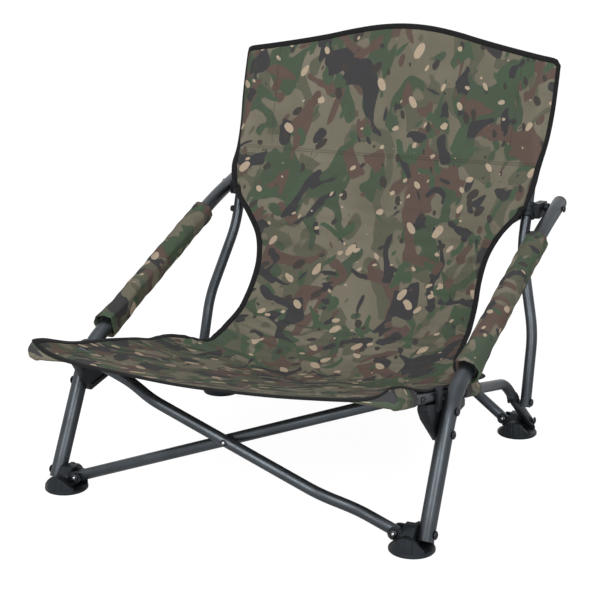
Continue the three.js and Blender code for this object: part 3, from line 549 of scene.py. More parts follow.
# %% Long tubes
RAIL_INSET = 0.022
PAST_PIN = 0.009
leg_start = leg_bolt + Vector((0, -LEG_LEAN, -1)).normalized() * 0.012
rail_line = bent_line([rail_tip.lerp(rail_corner, RAIL_INSET), rail_corner, pivot], 0.034)
rail_run = (pivot - rail_line[-2]).normalized()
joint = rail_line[-2] + rail_run * 0.009
upright_start = upright_pivot - (knee - upright_pivot).normalized() * PAST_PIN
TUBES = (
    # name, line, radius, body, CAD node
    ("leg_and_arm", bent_line([leg_start, leg_corner, arm_bend, arm_end], 0.046), LEG_RADIUS, "leg_body",
     "leg_tube"),
    ("rail", rail_line[:-1] + [joint], TUBE_RADIUS, "rail_body", "seat_rail"),
    ("rear_leg_piece", [joint + rail_run * FIT, pivot, hip + (hip - pivot).normalized() * PAST_PIN],
     TUBE_RADIUS, "rail_body", "rear_leg"),
    ("upright_tube", bent_line([upright_start, knee, neck, crown], 0.030), 0.0095, "upright_body", "upright"))
for word, side in SIDES:
    for name, line, radius, body, node in TUBES:
        tube(f"{name}_{word}", mirrored(line, side), radius, f"{body}_{word}", [f"{node}_{word}"])
print("long tubes made:", 2 * len(TUBES))

# %% [markdown]
# ## Crossed braces
# One tube of each pair is straight. The other steps aside where they cross, so that both stay in
# one plane at their ends. Their ends are pressed to a rounded eye for the clevis pins.

# %% Braces
BRACE_STEP = 0.0196
EYE = [(0, -TUBE_RADIUS), *((TUBE_RADIUS * math.cos(a), TUBE_RADIUS * math.sin(a))
                            for a in np.linspace(-1.35, 1.35, 13)), (0, TUBE_RADIUS)]


def brace(pair, kind, low, high, axis, step, side):
    start, end = low, at_side(high, -1)

    def spot(share, offset):
        return start.lerp(end, share) - axis * offset

    corners = [start, end]
    if step:
        corners = [start, spot(0.112, 0), spot(0.215, step), spot(0.74, step), spot(0.83, 0), end]
    line = mirrored(bent_line(corners, 0.020, 6), side)
    name, body = f"{pair}_brace_{kind}_tube", f"{pair}_x_{kind}"
    tube(name, line, TUBE_RADIUS, body, [f"{pair}_brace_{kind}"])
    for label, centre in (("low", line[0]), ("high", line[-1])):
        finish_piece(turned(f"{name}_eye_{label}", EYE, centre, axis, 32), body, tube_paint)


for pair, low, high, axis, step in (("front", front_low, front_high, front_axis, BRACE_STEP),
                                    ("rear", rear_low, rear_high, rear_axis, -BRACE_STEP)):
    brace(pair, "stepped", low, high, axis, step, 1.0)
    brace(pair, "straight", low, high, axis, 0.0, -1.0)
print("braces made")

# %% [markdown]
# ## Moulded feet
# The foot is the chair's cleverest moulding: a round base that spreads the load on soft ground, two
# cowls that guard the pivots and fall away to the sides, a hub with an ear beside the leg and a
# clevis for the brace. It is built by joining and cutting solids, and its edges are rounded last.

# %% Feet
FOOT_X = 297.0
CHEEK_IN, CHEEK_OUT = 0.0094, 0.0134


def clevis(obj, pin, axis, radius, web_low, web_high):
    """Two cheeks beside a brace's end, each with a web that joins it to the wall, given in x and z."""
    for turn in (-1, 1):
        near, far = pin + axis * turn * CHEEK_IN, pin + axis * turn * CHEEK_OUT
        carve(obj, bar("cheek", near, far, radius, 40), "UNION")
        low, high = sorted((near.y, far.y))
        carve(obj, block("web", (web_low[0], low, web_low[1]), (web_high[0], high, web_high[1])), "UNION")


def foot(end, centre_y, axis, bolt, face_x, ear_lean, word, side):
    base = turned(f"foot_{end}_moulding_{word}",
                  [(0, 0), (0.0335, 0), (0.035, 0.0015), (0.035, 0.0042), (0.0338, 0.0056), (0.0325, 0.006),
                   (0, 0.006)], mm(FOOT_X, centre_y, 0), (0, 0, 1), 72)
    arch = [(-0.031, 0.003), (0.031, 0.003)]
    arch += [(0.031 - 0.062 * t, 0.0075 + 0.0235 * math.sin(math.pi * t) ** 1.35)
             for t in (k / 16 for k in range(17))]
    cowls = prism("arch", [(0.297 + x, z) for x, z in arch], (centre_y - 36) * 0.001,
                  (centre_y + 36) * 0.001, "front")
    carve(cowls, bar("drum", mm(FOOT_X, centre_y, -1), mm(FOOT_X, centre_y, 40), 0.0346, 72), "INTERSECT")
    carve(cowls, block("slot", mm(250, centre_y - 21.5, 5), mm(345, centre_y + 21.5, 50)))
    for turn in (-1, 1):
        for step in (-1, 0, 1):
            a = turn * math.pi / 2 + step * math.pi / 9
            spot = mm(FOOT_X + 35 * math.cos(a), centre_y + 35 * math.sin(a), 7)
            carve(cowls, bar("groove", spot, spot + mm(0, 0, 40), 0.0014, 12))
    hub_out, hub_in = face_x - FIT, 0.2837
    y = bolt.y
    hub = prism("hub", [((centre_y - 17) * 0.001, 0.003), ((centre_y + 17) * 0.001, 0.003),
                        (y + 0.012, 0.031), (y + 0.006, 0.037), (y - 0.012, 0.037),
                        ((centre_y - 17) * 0.001, 0.025)], hub_in, hub_out)
    top = y + ear_lean * 0.026 + 0.005
    ear = prism("ear", [(y - 0.012, 0.004), (y + 0.012, 0.004), (top - 0.001, 0.035), (top - 0.009, 0.035)],
                hub_out - 0.007, hub_out + 0.0002)
    for part in (cowls, hub, ear):
        carve(base, part, "UNION")
    pin = mm(272.7, centre_y, 25.0)
    clevis(base, pin, axis, 0.0095, (pin.x, 0.0159), (hub_in + 0.002, 0.0341))
    carve(base, bar("bore", pin - axis * 0.02, pin + axis * 0.02, 0.0044, 24))
    return finish_moulding(base, side, 0.0006, f"foot_{end}_{word}", f"{end}_foot_{word}")


hip_face = 0.3137 - TUBE_RADIUS - 0.19910 * 0.026  # the rear leg leans in by 0.199 on its way up
for word, side in SIDES:
    foot("front", -334.0, front_axis, leg_bolt, leg_face, LEG_LEAN, word, side)
    foot("rear", 218.0, rear_axis, hip, hip_face, 0.0, word, side)

# %% [markdown]
# ## Gussets, knuckles and sliders
# The gusset is a moulded saddle bolted to the leg. Its inner face is slanted, with a panel sunk in
# it, and the rail rests on its top when the chair is open. The knuckle is the clevis that takes the
# top of the front brace, and the slider is the collar that runs on the upright.

# %% Gussets
def gusset(word, side):
    def under(y):
        return rail_z(y) - 9.3 * math.hypot(1, RAIL_SLOPE)

    obj = side_plate(f"gusset_moulding_{word}", [
        (-297, under(-297)), (-298, under(-297) - 8), (-294, under(-297) - 15), (-254, 144), (-247, 141),
        (-187, 153), (-120, 158), (-120, under(-120))], 0.288, 0.3044)
    slant = [(0.270, 0.120), (0.2985, 0.120), (0.2985, 0.141), (0.2850, 0.198), (0.270, 0.198)]
    carve(obj, prism("slant", slant, -0.320, -0.100, "front"))
    panel = side_plate("panel", [
        (-288, under(-288) - 5), (-288, under(-288) - 11), (-250, 152), (-245, 151), (-190, 161), (-134, 164),
        (-134, under(-134) - 5)], 0.270, 0.310)
    deeper = [(x + 0.0022, z) for x, z in slant]
    carve(panel, prism("deeper", deeper, -0.330, -0.090, "front"), "INTERSECT")
    carve(obj, panel)
    carve(obj, block("lip", mm(303.4, -263, 192), mm(309, -245, 227)), "UNION")
    carve(obj, bar("rail_bed", rail_tip, rail_corner, 0.0093, 40))
    carve(obj, bar("leg_bed", mm(316.5, leg_y(60), 60), mm(316.5, leg_y(230), 230), LEG_RADIUS + FIT, 40))
    return finish_moulding(obj, side, 0.0009, f"leg_body_{word}", f"gusset_{word}")


for word, side in SIDES:
    gusset(word, side)
print("gussets made")

# %% Knuckles and sliders
SLIDER_HALF = 0.013


def knuckle(word, side):
    wall_in, wall_out = 0.2821, 0.2847
    y, z = -0.316, 0.226
    obj = block(f"knuckle_moulding_{word}", (wall_in, y - 0.0134, z - 0.0076),
                (wall_out, y + 0.0134, z + 0.0076))
    clevis(obj, front_high, front_axis, 0.0076, (0.2727, z - 0.0047), (wall_out - 0.0006, z + 0.0047))
    return finish_moulding(obj, side, 0.0005, f"knuckle_body_{word}", f"knuckle_{word}")


def slider(word, side):
    run = (crown - neck).normalized()
    low, high = slider_at - run * SLIDER_HALF, slider_at + run * SLIDER_HALF
    obj = turned(f"slider_moulding_{word}",
                 [(0, 0), (0.0132, 0), (0.0144, 0.0012), (0.0144, 0.0085), (0.0136, 0.0095), (0.0136, 0.0165),
                  (0.0144, 0.0175), (0.0144, 0.0248), (0.0132, 0.026), (0, 0.026)], low, run, 56)
    carve(obj, side_plate("body", [(283, 380), (332, 380), (335, 383), (335, 401), (332, 404), (283, 407),
                                   (280, 404), (280, 383)], 0.291, 0.3042), "UNION")
    boss = Vector((0.3012, arm_pin.y, arm_pin.z))
    carve(obj, bar("boss", boss, boss + mm(10, 0, 0), 0.008, 40), "UNION")
    lug_top = rear_high - rear_axis * (TUBE_RADIUS + FIT)
    carve(obj, block("lug", (lug_top.x - 0.011, slider_at.y, rear_high.z - 0.011),
                     (0.293, lug_top.y - 0.007, rear_high.z + 0.011)), "UNION")
    carve(obj, bar("throat", low - run * 0.02, high + run * 0.02, 0.0099, 48))
    return finish_moulding(obj, side, 0.0008, f"slider_body_{word}", f"slider_{word}")


for word, side in SIDES:
    knuckle(word, side)
    slider(word, side)
print("knuckles and sliders made")

# %% [markdown]
# ## Screws, pins and rivets with Geometry Nodes
# All the fasteners are one domed head with a socket in it, repeated. A tree puts that pattern head
# on points that carry the direction they face, and its size is an input. There is one set of points
# for each body, so that each set moves with its own body.

# %% Fastener tree
def heads_tree():
    tree, given = geometry_tree("fastener_heads", (
        ("Points", "Geometry", None), ("Pattern", "Object", None), ("Size", "Float", 1.0),
        ("Seed", "Int", 5)), "Heads")
    pattern = add(tree, "GeometryNodeObjectInfo", {"Object": given["Pattern"]})
    facing = add(tree, "GeometryNodeInputNamedAttribute", {"Name": "facing"}, data_type="FLOAT_VECTOR")
    aim = add(tree, "FunctionNodeAlignRotationToVector", {"Vector": facing}, axis="Z")
    spin = add(tree, "FunctionNodeRandomValue", {3: 3.14, "Seed": given["Seed"]}, data_type="FLOAT")
    turn = add(tree, "ShaderNodeCombineXYZ", {"Z": spin.outputs[1]})
    twist = add(tree, "FunctionNodeRotateRotation", {"Rotation": aim, "Rotate By": turn},
                rotation_space="LOCAL")
    place = add(tree, "GeometryNodeInstanceOnPoints",
                {"Points": given["Points"], "Instance": pattern.outputs["Geometry"],
                 "Rotation": twist, "Scale": given["Size"]})
    return end_tree(tree, given, place)


fastener_heads = heads_tree()
head_shape = turned("head_pattern", [
    (0, 0.0), (0.0061, 0.0), (0.0068, 0.0006), (0.0066, 0.0016), (0.0056, 0.0026), (0.0040, 0.0033),
    (0.0030, 0.0034), (0.0027, 0.0030), (0.0025, 0.0014), (0, 0.0014)], (0, 0, 0), (0, 0, 1), 24)
tip_shape = turned("tip_pattern", [
    (0, 0.0), (0.0026, 0.0), (0.0025, 0.0007), (0.0018, 0.0013), (0.0009, 0.0016), (0, 0.0017)],
    (0, 0, 0), (0, 0, 1), 20)


def heads(name, places, body, nodes, size=1.0, pattern=head_shape, finish=steel):
    """One piece with a head at each of the places, which are (point, direction) pairs."""
    obj = new_object(name, [p for p, _ in places])
    facing = obj.data.attributes.new("facing", "FLOAT_VECTOR", "POINT")
    for item, (_, direction) in zip(facing.data, places):
        item.vector = Vector(direction).normalized()
    run_tree(obj, fastener_heads, Pattern=pattern, Size=size, Seed=5, Finish=finish)
    return finish_piece(obj, body, finish, nodes, 40.0)


def pin_ends(name, tail, ends, body, node, size=1.0, stand=0.0022):
    """A head at both ends of a pin, each with the pin's bright tip in it."""
    heads(f"{name}_heads{tail}", ends, body, [node], size)
    heads(f"{name}_tips{tail}", [(point + way * stand, way) for point, way in ends], body, [],
          pattern=tip_shape, finish=bright)


print("fastener tree ready")

# %% Fasteners in their places
CLEVIS_REACH = CHEEK_OUT + FIT
BRACE_FACE = TUBE_RADIUS + FIT
OUT = Vector((1, 0, 0))


def at_x(x, point):
    return Vector((x, point.y, point.z))


leg_side = leg_bolt.x + LEG_RADIUS + FIT
SCREWS = (
    # name, places with the way they face, body, CAD nodes
    ("leg_screw_heads", [(at_x(leg_side, mm(0, leg_y(z), z)), OUT) for z in (156.0, 187.0)]
     + [(at_x(leg_side, leg_bolt), OUT)], "leg_body", ("gusset_bolt_1", "gusset_bolt_2", "leg_bolt")),
    ("arm_pin_head", [(at_x(arm_pin.x + LEG_RADIUS + FIT, arm_pin), OUT)], "leg_body", ("arm_pin",)),
    ("rail_screw_heads", [(at_x(0.3033, front_high), OUT), (at_x(0.3243, hip), OUT)], "rail_body",
     ("knuckle_screw", "rear_leg_bolt")),
    ("upright_bolt_heads", [(at_x(0.3304, upright_pivot), OUT), (at_x(0.2914, upright_pivot), -OUT)],
     "upright_body", ("upright_bolt",)))
PINS = (
    # name, centre, axis, body
    ("front_foot", front_low, front_axis, "foot_front"),
    ("knuckle", front_high, front_axis, "knuckle_body"),
    ("rear_foot", rear_low, rear_axis, "foot_rear"))
for word, side in SIDES:
    for name, places, body, nodes in SCREWS:
        heads(f"{name}_{word}", [(at_side(point, side), at_side(way, side)) for point, way in places],
              f"{body}_{word}", [f"{node}_{word}" for node in nodes])
    for name, centre, axis, body in PINS:
        spot = at_side(centre, side)
        pin_ends(f"{name}_pin", f"_{word}",
                 [(spot - axis * CLEVIS_REACH, -axis), (spot + axis * CLEVIS_REACH, axis)],
                 f"{body}_{word}", f"{name}_pin_{word}")
for word, side, body in (("right", 1.0, "rear_x_straight"), ("left", -1.0, "rear_x_stepped")):
    place = (at_side(rear_high, side) + rear_axis * BRACE_FACE, rear_axis)
    heads(f"rear_brace_pin_head_{word}", [place], body, [f"rear_brace_pin_{word}"])
cross_front, cross_rear = (at_x(0, (low + high) / 2)
                           for low, high in ((front_low, front_high), (rear_low, rear_high)))
pin_ends("front_rivet", "", [(cross_front - front_axis * (BRACE_STEP + BRACE_FACE), -front_axis),
                             (cross_front + front_axis * BRACE_FACE, front_axis)],
         "front_x_stepped", "front_rivet", 0.75, 0.0016)
heads("rear_rivet_head", [(cross_rear + rear_axis * (BRACE_STEP + BRACE_FACE), rear_axis)],
      "rear_x_stepped", ["rear_rivet"])
for shape in (head_shape, tip_shape):
    bpy.data.objects.remove(shape)

# %% [markdown]
# ## Stop knobs, plugs, collars and the spacer
# Small turned parts: the button that stops the slider on the upright, the plug in the arm's open
# end, and the collar over the joint of the rail. The spacer between the front braces stays the CAD
# model's own and only takes the finish of a moulding.

# %% Small turned parts
knob = neck.lerp(crown, (354.0 - 326.0) / (634.0 - 326.0))
arm_run = (arm_end - arm_bend).normalized()
TURNINGS = (
    # name, profile, base, direction, count, body, CAD node
    ("stop_button", [(0, 0), (0.0056, 0), (0.006, 0.0006), (0.006, 0.0042), (0.0052, 0.0056), (0.003, 0.0066),
                     (0, 0.0068)], knob + OUT * BRACE_FACE, OUT, 32, "upright_body", "stop_knob"),
    ("arm_end_plug", [(0, 0), (0.0125, 0), (0.0127, 0.0006), (0.0120, 0.0034), (0.0098, 0.0052),
                      (0.0057, 0.0062), (0, 0.0064)], arm_end + arm_run * FIT, arm_run, 40, "leg_body",
     "arm_plug"),
    ("rail_joint_collar", [(0.0091, 0), (0.0100, 0), (0.0103, 0.0003), (0.0103, 0.0087), (0.0100, 0.009),
                           (0.0091, 0.009), (0.0091, 0)], joint + rail_run * 0.0006, rail_run, 40,
     "rail_body", "joint_collar"))
for word, side in SIDES:
    for name, profile, base, way, count, body, node in TURNINGS:
        obj = turned(f"{name}_{word}", profile, at_side(base, side), at_side(way, side), count)
        finish_piece(obj, f"{body}_{word}", moulding, [f"{node}_{word}"], 40.0)
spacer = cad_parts["front_spacer"]
spacer.data.materials.clear()
spacer.data.materials.append(moulding)
print("small parts made")

# %% [markdown]
# ## The sling's shape
# The sling is one long cloth hung between the two sides. Its shape is a table of rows from the
# front hem to the top: half the width, the place of the side edge, and how far the middle hangs
# from it. A smooth curve runs through the rows, and each row is a shallow arc. Small folds fan out
# from where the cloth is held.

# %% Sling rows
ROWS = np.array([
    # half, edge y, edge z, middle y, middle z
    (290.5, -419.5, 273.0, -5, -37.5), (295, -380, 263.5, -3, -38.5), (298, -300, 236.8, 0, -36.5),
    (298, -200, 215.0, 0, -40), (298, -110, 193.5, 0, -41), (298, -30, 174.5, 0, -41),
    (296, 8, 166.5, 0, -40), (268, 34, 163.0, 1, -38), (238, 56, 164.5, 3, -36),
    (228, 80, 169.0, 8, -34), (226, 106, 176.5, 15, -32), (224, 134, 186.0, 22, -28),
    (223, 161, 199.0, 28, -22), (221, 198, 233.0, 34, -11), (220, 222, 273.0, 39, -4),
    (228, 236, 315.0, 48, 0), (249, 240, 355.0, 59, 0), (278, 250, 392.0, 62, 0),
    (295, 272, 432.0, 56, 0), (297.5, 302, 470.0, 47, 0), (302.5, 329, 513.0, 46, 0),
    (306, 345, 557.0, 47, 0), (307, 359, 602.0, 48, 0), (307, 372, 642.0, 48, 0)]) * 0.001
CREASE = 10.0  # the row where the seat ends and the back begins
LAST = len(ROWS) - 1.0


def smooth_row(v):
    """A row at or between the given ones, by a Catmull-Rom curve through them."""
    i = int(min(max(math.floor(v), 0), LAST - 1))
    t = v - i
    p0, p1 = ROWS[max(i - 1, 0)], ROWS[i]
    p2, p3 = ROWS[i + 1], ROWS[min(i + 2, int(LAST))]
    return 0.5 * (2 * p1 + (p2 - p0) * t + (2 * p0 - 5 * p1 + 4 * p2 - p3) * t * t
                  + (3 * p1 - p0 - 3 * p2 + p3) * t ** 3)


MEASURE = np.linspace(0, LAST, 400)
middle = np.array([smooth_row(v)[1:3] + smooth_row(v)[3:5] for v in MEASURE])
LENGTH = np.concatenate([[0], np.cumsum(np.linalg.norm(np.diff(middle, axis=0), axis=1))])


def cloth_length(v):
    return float(np.interp(v, MEASURE, LENGTH))


# the top hem: shares of the half width, and its rise at each
TOP_SHARES = np.array([0, 0.163, 0.339, 0.489, 0.651, 0.814, 0.97, 1.03])
TOP_RISE = np.array([56, 53, 44, 33.7, 24.2, 16, 9.2, 6.5]) * 0.001
TOP_SLOPES = np.gradient(TOP_RISE, TOP_SHARES)
TOP_SLOPES[0] = 0.0
CORNER = 0.03  # share of the half width that a corner's rounding takes
CORNER_ROUND = 0.009


def peak(u):
    """The top hem rises from rounded corners to a soft point in the middle."""
    a = abs(u)
    i = min(int(np.searchsorted(TOP_SHARES, a, side="right")) - 1, len(TOP_SHARES) - 2)
    step = TOP_SHARES[i + 1] - TOP_SHARES[i]
    t = (a - TOP_SHARES[i]) / step
    rise = (TOP_RISE[i] * (2 * t ** 3 - 3 * t * t + 1) + TOP_SLOPES[i] * step * (t ** 3 - 2 * t * t + t)
            + TOP_RISE[i + 1] * (3 * t * t - 2 * t ** 3) + TOP_SLOPES[i + 1] * step * (t ** 3 - t * t))
    inward = max(0.0, (a - 1 + CORNER) / CORNER)
    return rise - CORNER_ROUND * (1 - math.sqrt(max(0.0, 1 - inward * inward)))


def folds(u, v):
    """Shallow creases, in metres, zero at the hems."""
    hold = max(0.0, 1 - abs(u) ** 6)
    waist = math.exp(-((v - 13.5) / 4.0) ** 2)
    seat = math.exp(-((v - 5.0) / 4.0) ** 2)
    high = math.exp(-((v - 20.0) / 3.0) ** 2)
    d = 0.0022 * waist * math.sin(9.0 * v + 3.0 * math.cos(2.2 * u)) * (0.3 + abs(u))
    d += 0.0014 * waist * math.sin(15.0 * v - 7.0 * abs(u)) * abs(u) ** 2
    d += 0.0020 * seat * math.sin(4.2 * v + 5.5 * abs(u)) * abs(u) ** 1.5
    d += 0.0012 * seat * math.sin(11.0 * u + 1.3 * v)
    d += 0.0016 * high * math.sin(3.6 * v + 6.0 * abs(u)) * abs(u)
    d += 0.0010 * high * math.sin(8.0 * u + 0.9 * v)
    return d * hold


TUBE_X = neck.x
TUBE_CLEAR = 0.0109
FORWARD = Vector((0, neck.z - crown.z, crown.y - neck.y)).normalized()


def tube_y(z):
    return neck.y + (crown.y - neck.y) * (z - neck.z) / (crown.z - neck.z)


def over_tube(share):
    """How far the cloth stands off the tube's axis between the tube, 0, and the side hem, 1."""
    return TUBE_CLEAR * max(0.0, math.cos(math.pi / 2 * share)) ** 0.8


HEM_SAG = 0.0036
# the side hem's wave: sling rows, and its height at each, in millimetres
WAVE_ROWS = (4.0, 4.6, 5.1, 5.75, 6.25, 6.75, 7.15, 7.55, 8.0, 8.5, 9.0, 9.6)
WAVE_RISE = (0.0, -2.6, 0.8, 2.2, 2.5, 1.2, -3.4, -8.0, -9.5, -3.8, -1.2, 0.0)


def edge_wave(v):
    """The side hem ripples where the seat turns up into the back."""
    i = int(np.searchsorted(WAVE_ROWS, v, side="right")) - 1
    if i < 0 or i >= len(WAVE_ROWS) - 1:
        return 0.0
    t = (v - WAVE_ROWS[i]) / (WAVE_ROWS[i + 1] - WAVE_ROWS[i])
    t = t * t * (3 - 2 * t)
    return (WAVE_RISE[i] * (1 - t) + WAVE_RISE[i + 1] * t) * 0.001


def sling_point(u, v):
    """The sling at a share of its half width and a row, held up to the uprights near the top."""
    half, y, z, my, mz = smooth_row(v)
    x = abs(u) * half
    front = max(0.0, 1 - v / 3)
    corner, bow = 0.52 * front ** 1.5, 2.4 - 0.6 * front
    hang = 1 - (1 - corner) * abs(u) ** bow - corner * abs(u) ** 16
    low = Vector((u * half, y + my * hang, z + mz * hang))
    low.z += edge_wave(v) * abs(u) ** 6
    if u > 0:  # the hem sags a little in front of the right gusset
        low.z -= HEM_SAG * math.exp(-((v - 3.1) / 1.3) ** 2) * u ** 5
    held = min(max((v - 16.6) / 1.4, 0.0), 1.0)
    held = held * held * (3 - 2 * held)
    if held <= 0:
        return low
    if x > TUBE_X:
        share = (x - TUBE_X) / (half - TUBE_X)
        high = Vector((u * half, tube_y(z) + (y - tube_y(z)) * share, z)) + FORWARD * over_tube(share)
    else:
        back = y + my - tube_y(z) - FORWARD.y * TUBE_CLEAR
        high = Vector((u * half, tube_y(z) + back * (1 - (x / TUBE_X) ** 2), z)) + FORWARD * TUBE_CLEAR
    point = low.lerp(high, held)
    if v > 17:
        point.z += peak(u) * ((v - 17) / (LAST - 17)) ** 2
    return point


def cloth_normal(grid, i, j):
    along = grid[min(i + 1, len(grid) - 1)][j] - grid[max(i - 1, 0)][j]
    wide = grid[i][min(j + 1, len(grid[0]) - 1)] - grid[i][max(j - 1, 0)]
    return wide.cross(along).normalized()


def sling_grid(v_from, v_to, rows, columns):
    """Points of the sling with its folds. Its columns stand closer towards the side hems."""
    evenly = [2 * j / columns - 1 for j in range(columns + 1)]
    us = [math.sin(math.pi / 2 * share) * 0.35 + share * 0.65 for share in evenly]
    vs = [v_from + (v_to - v_from) * i / rows for i in range(rows + 1)]
    grid = [[sling_point(u, v) for u in us] for v in vs]
    bent = [[grid[i][j] + cloth_normal(grid, i, j) * folds(u, v) for j, u in enumerate(us)]
            for i, v in enumerate(vs)]
    return bent, us, vs


print("sling length along the middle: %.3f m" % LENGTH[-1])

# %% [markdown]
# ## Cloth from a grid
# A grid of points becomes a sheet with a UV map in metres. Solidify gives it the thickness of a
# coated canvas. The tape round its edge is a flattened section carried along the border, with one
# side of it folded over each face of the cloth.

# %% Sheet helpers
def add_cut(mesh, values):
    layer = mesh.uv_layers.new(name="cut")
    for loop in mesh.loops:
        layer.data[loop.index].uv = values[loop.vertex_index]


def grid_faces(rows, columns, closed=False):
    """Quads between the points of a grid, whose rows may close on themselves."""
    faces = []
    for low in range(0, (rows - 1) * columns, columns):
        for j in range(columns if closed else columns - 1):
            n = (j + 1) % columns
            faces.append((low + j, low + n, low + columns + n, low + columns + j))
    return faces


def sheet_from(name, grid, cut, thickness):
    obj = new_object(name, [p for row in grid for p in row], grid_faces(len(grid), len(grid[0])))
    add_cut(obj.data, cut)
    return modify(obj, "SOLIDIFY", thickness=thickness, offset=0.0)


def border(grid, sides):
    """The points along some sides of the cloth, each with the cloth's normal."""
    rows, columns = len(grid), len(grid[0])
    left, right = ([(i, j) for i in range(rows)] for j in (0, columns - 1))
    bottom, top = ([(i, j) for j in range(1, columns - 1)] for i in (0, rows - 1))
    paths = {"left": left, "left_down": left[::-1], "right": right, "right_down": right[::-1],
             "bottom": bottom, "top": top}
    return [(grid[i][j], cloth_normal(grid, i, j)) for side in sides for i, j in paths[side]]


def tape(name, path, flip):
    """A folded tape along a border: the section is an oval that reaches inward over the cloth."""
    width, thick, past, count = 0.0105, 0.0046, 0.0015, 14
    oval = []
    for s in range(count):
        a = 2 * math.pi * s / count
        oval.append([math.copysign(abs(value) ** 0.6, value) for value in (math.cos(a), math.sin(a))])
    points, cut, run = [], [], 0.0
    for k, (point, normal) in enumerate(path):
        before = path[max(k - 1, 0)][0]
        after = path[min(k + 1, len(path) - 1)][0]
        inward = normal.cross((after - before).normalized()).normalized() * flip
        run += (point - before).length
        for s, (x, y) in enumerate(oval):
            points.append(point + inward * (width / 2 - past + x * width / 2) + normal * (y * thick / 2))
            cut.append((run, s * 0.002))
    faces = grid_faces(len(path), count, closed=True)
    faces += [tuple(range(count)), tuple(range(len(points) - 1, len(points) - 1 - count, -1))]
    obj = new_object(name, points, faces)
    add_cut(obj.data, cut)
    return close_up(obj, merge=0)


print("sheet helpers ready")

# %% [markdown]
# ## Seat and back
# The seat rides on the right rail and the back on the right upright. When the chair folds, the real
# cloth crumples between the two sides as they close. Seat and back meet at the crease, where the
# seat reaches a hair past the back's first row.

# %% Seat and back sheets
OVERLAP = 0.003  # of a row


def soft(obj, body, material, nodes=()):
    finish_piece(obj, body, material, nodes, 50.0)
    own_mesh(obj)
    return obj


def cut_of(us, vs):
    return [(u * smooth_row(v)[0] * 1.02, cloth_length(v)) for v in vs for u in us]


seat_grid, seat_us, seat_vs = sling_grid(0.0, CREASE + OVERLAP, 120, 84)
back_grid, back_us, back_vs = sling_grid(CREASE, LAST, 150, 84)
seat_sheet = sheet_from("seat_sheet", seat_grid, cut_of(seat_us, seat_vs), 0.0018)
back_sheet = sheet_from("back_sheet", back_grid, cut_of(back_us, back_vs), 0.0018)
soft(seat_sheet, "rail_body_right", camouflage, ["seat_cloth"])
soft(back_sheet, "upright_body_right", camouflage, ["back_cloth"])
print("sheet faces:", len(seat_sheet.data.polygons), len(back_sheet.data.polygons))

# %% Binding tape
seat_border = border(seat_grid, ["left_down", "bottom", "right"])
back_border = border(back_grid, ["left", "top", "right_down"])
soft(tape("seat_binding", seat_border, 1.0), "rail_body_right", binding_black)
soft(tape("back_binding", back_border, -1.0), "upright_body_right", binding_black)
print("binding points:", len(seat_border), len(back_border))

# %% [markdown]
# ## Pockets
# The cloth holds the frame in sewn pockets: a strip goes round each rail and each upright and is
# sewn back to the sheet some 60 mm in from the hem, which makes a wedge behind the tube. The front
# pockets are closed over the rails' ends, and get narrower towards their rear.

# %% Pockets
SEAM_IN = 0.062
UNDER = 0.0012  # how far a strip lies under the sheet
POCKET_RADIUS = 0.0103
RAIL_UP = Vector((0, RAIL_SLOPE, 1)).normalized()


def strip(name, grid, side, body):
    """A grid of section rows becomes a thin strip of cloth on its side."""
    cut, run = [], 0.0
    for before, row in zip(grid[:1] + grid, grid):
        run += (row[len(row) // 2] - before[len(row) // 2]).length
        length = 0.0
        for last, point in zip(row[:1] + row, row):
            length += (point - last).length
            cut.append((0.31 * side + length, 0.83 + run))
    obj = sheet_from(name, [mirrored(row, side) for row in grid], cut, 0.0011)
    return soft(close_up(obj), body, camouflage)


def rail_pocket_row(y, full=1.0, reach=SEAM_IN):
    """The strip's section at one place along the rail, from the hem round and under to the seam.
    Where full is below 1, it is drawn up to the sheet."""
    v = row_of(y)
    half = smooth_row(v)[0]
    centre = Vector((rail_tip.x, y, rail_z(y * 1000) * 0.001))
    row = [sling_point(1.0, v) - RAIL_UP * UNDER]
    for number, a in enumerate(np.linspace(0.35, -2.0, 18)):
        radius = POCKET_RADIUS + 0.0005 * math.sin(90 * y + 0.9 * number)
        row.append(centre + OUT * (math.cos(a) * radius) + RAIL_UP * (math.sin(a) * radius))
    last, seam_at = row[-1], sling_point(1 - reach / half, v) - RAIL_UP * 0.0016
    for t in np.linspace(0.15, 1, 8):
        row.append(last.lerp(seam_at, t) - RAIL_UP * (0.0015 * math.sin(math.pi * t)))
    return [(sling_point(min(point.x / half, 1.0), v) - RAIL_UP * UNDER).lerp(point, full)
            for point in row]


def upright_pocket_row(v):
    """The strip's section behind the upright, from the hem round the tube to the seam."""
    half, y, z = smooth_row(v)[:3]
    row = [sling_point(1.0, v)]
    lift = row[0].z - z
    for share in (0.85, 0.7, 0.55, 0.4, 0.25, 0.1, 0.0):
        x = TUBE_X + (half - TUBE_X) * share
        spot = Vector((x, tube_y(z) + (y - tube_y(z)) * share, z + lift * share))
        row.append(spot - FORWARD * over_tube(share))
    last, seam_at = row[-1], sling_point((half - SEAM_IN) / half, v) - FORWARD * 0.0018
    for t in np.linspace(0.12, 1, 9):
        row.append(last.lerp(seam_at, t) - FORWARD * (0.0012 * math.sin(math.pi * t)))
    return row


def row_of(y):
    """The sling row whose hem stands at a depth."""
    rows = np.linspace(0, 9, 500)
    return float(np.interp(y, [smooth_row(v)[1] for v in rows], rows))


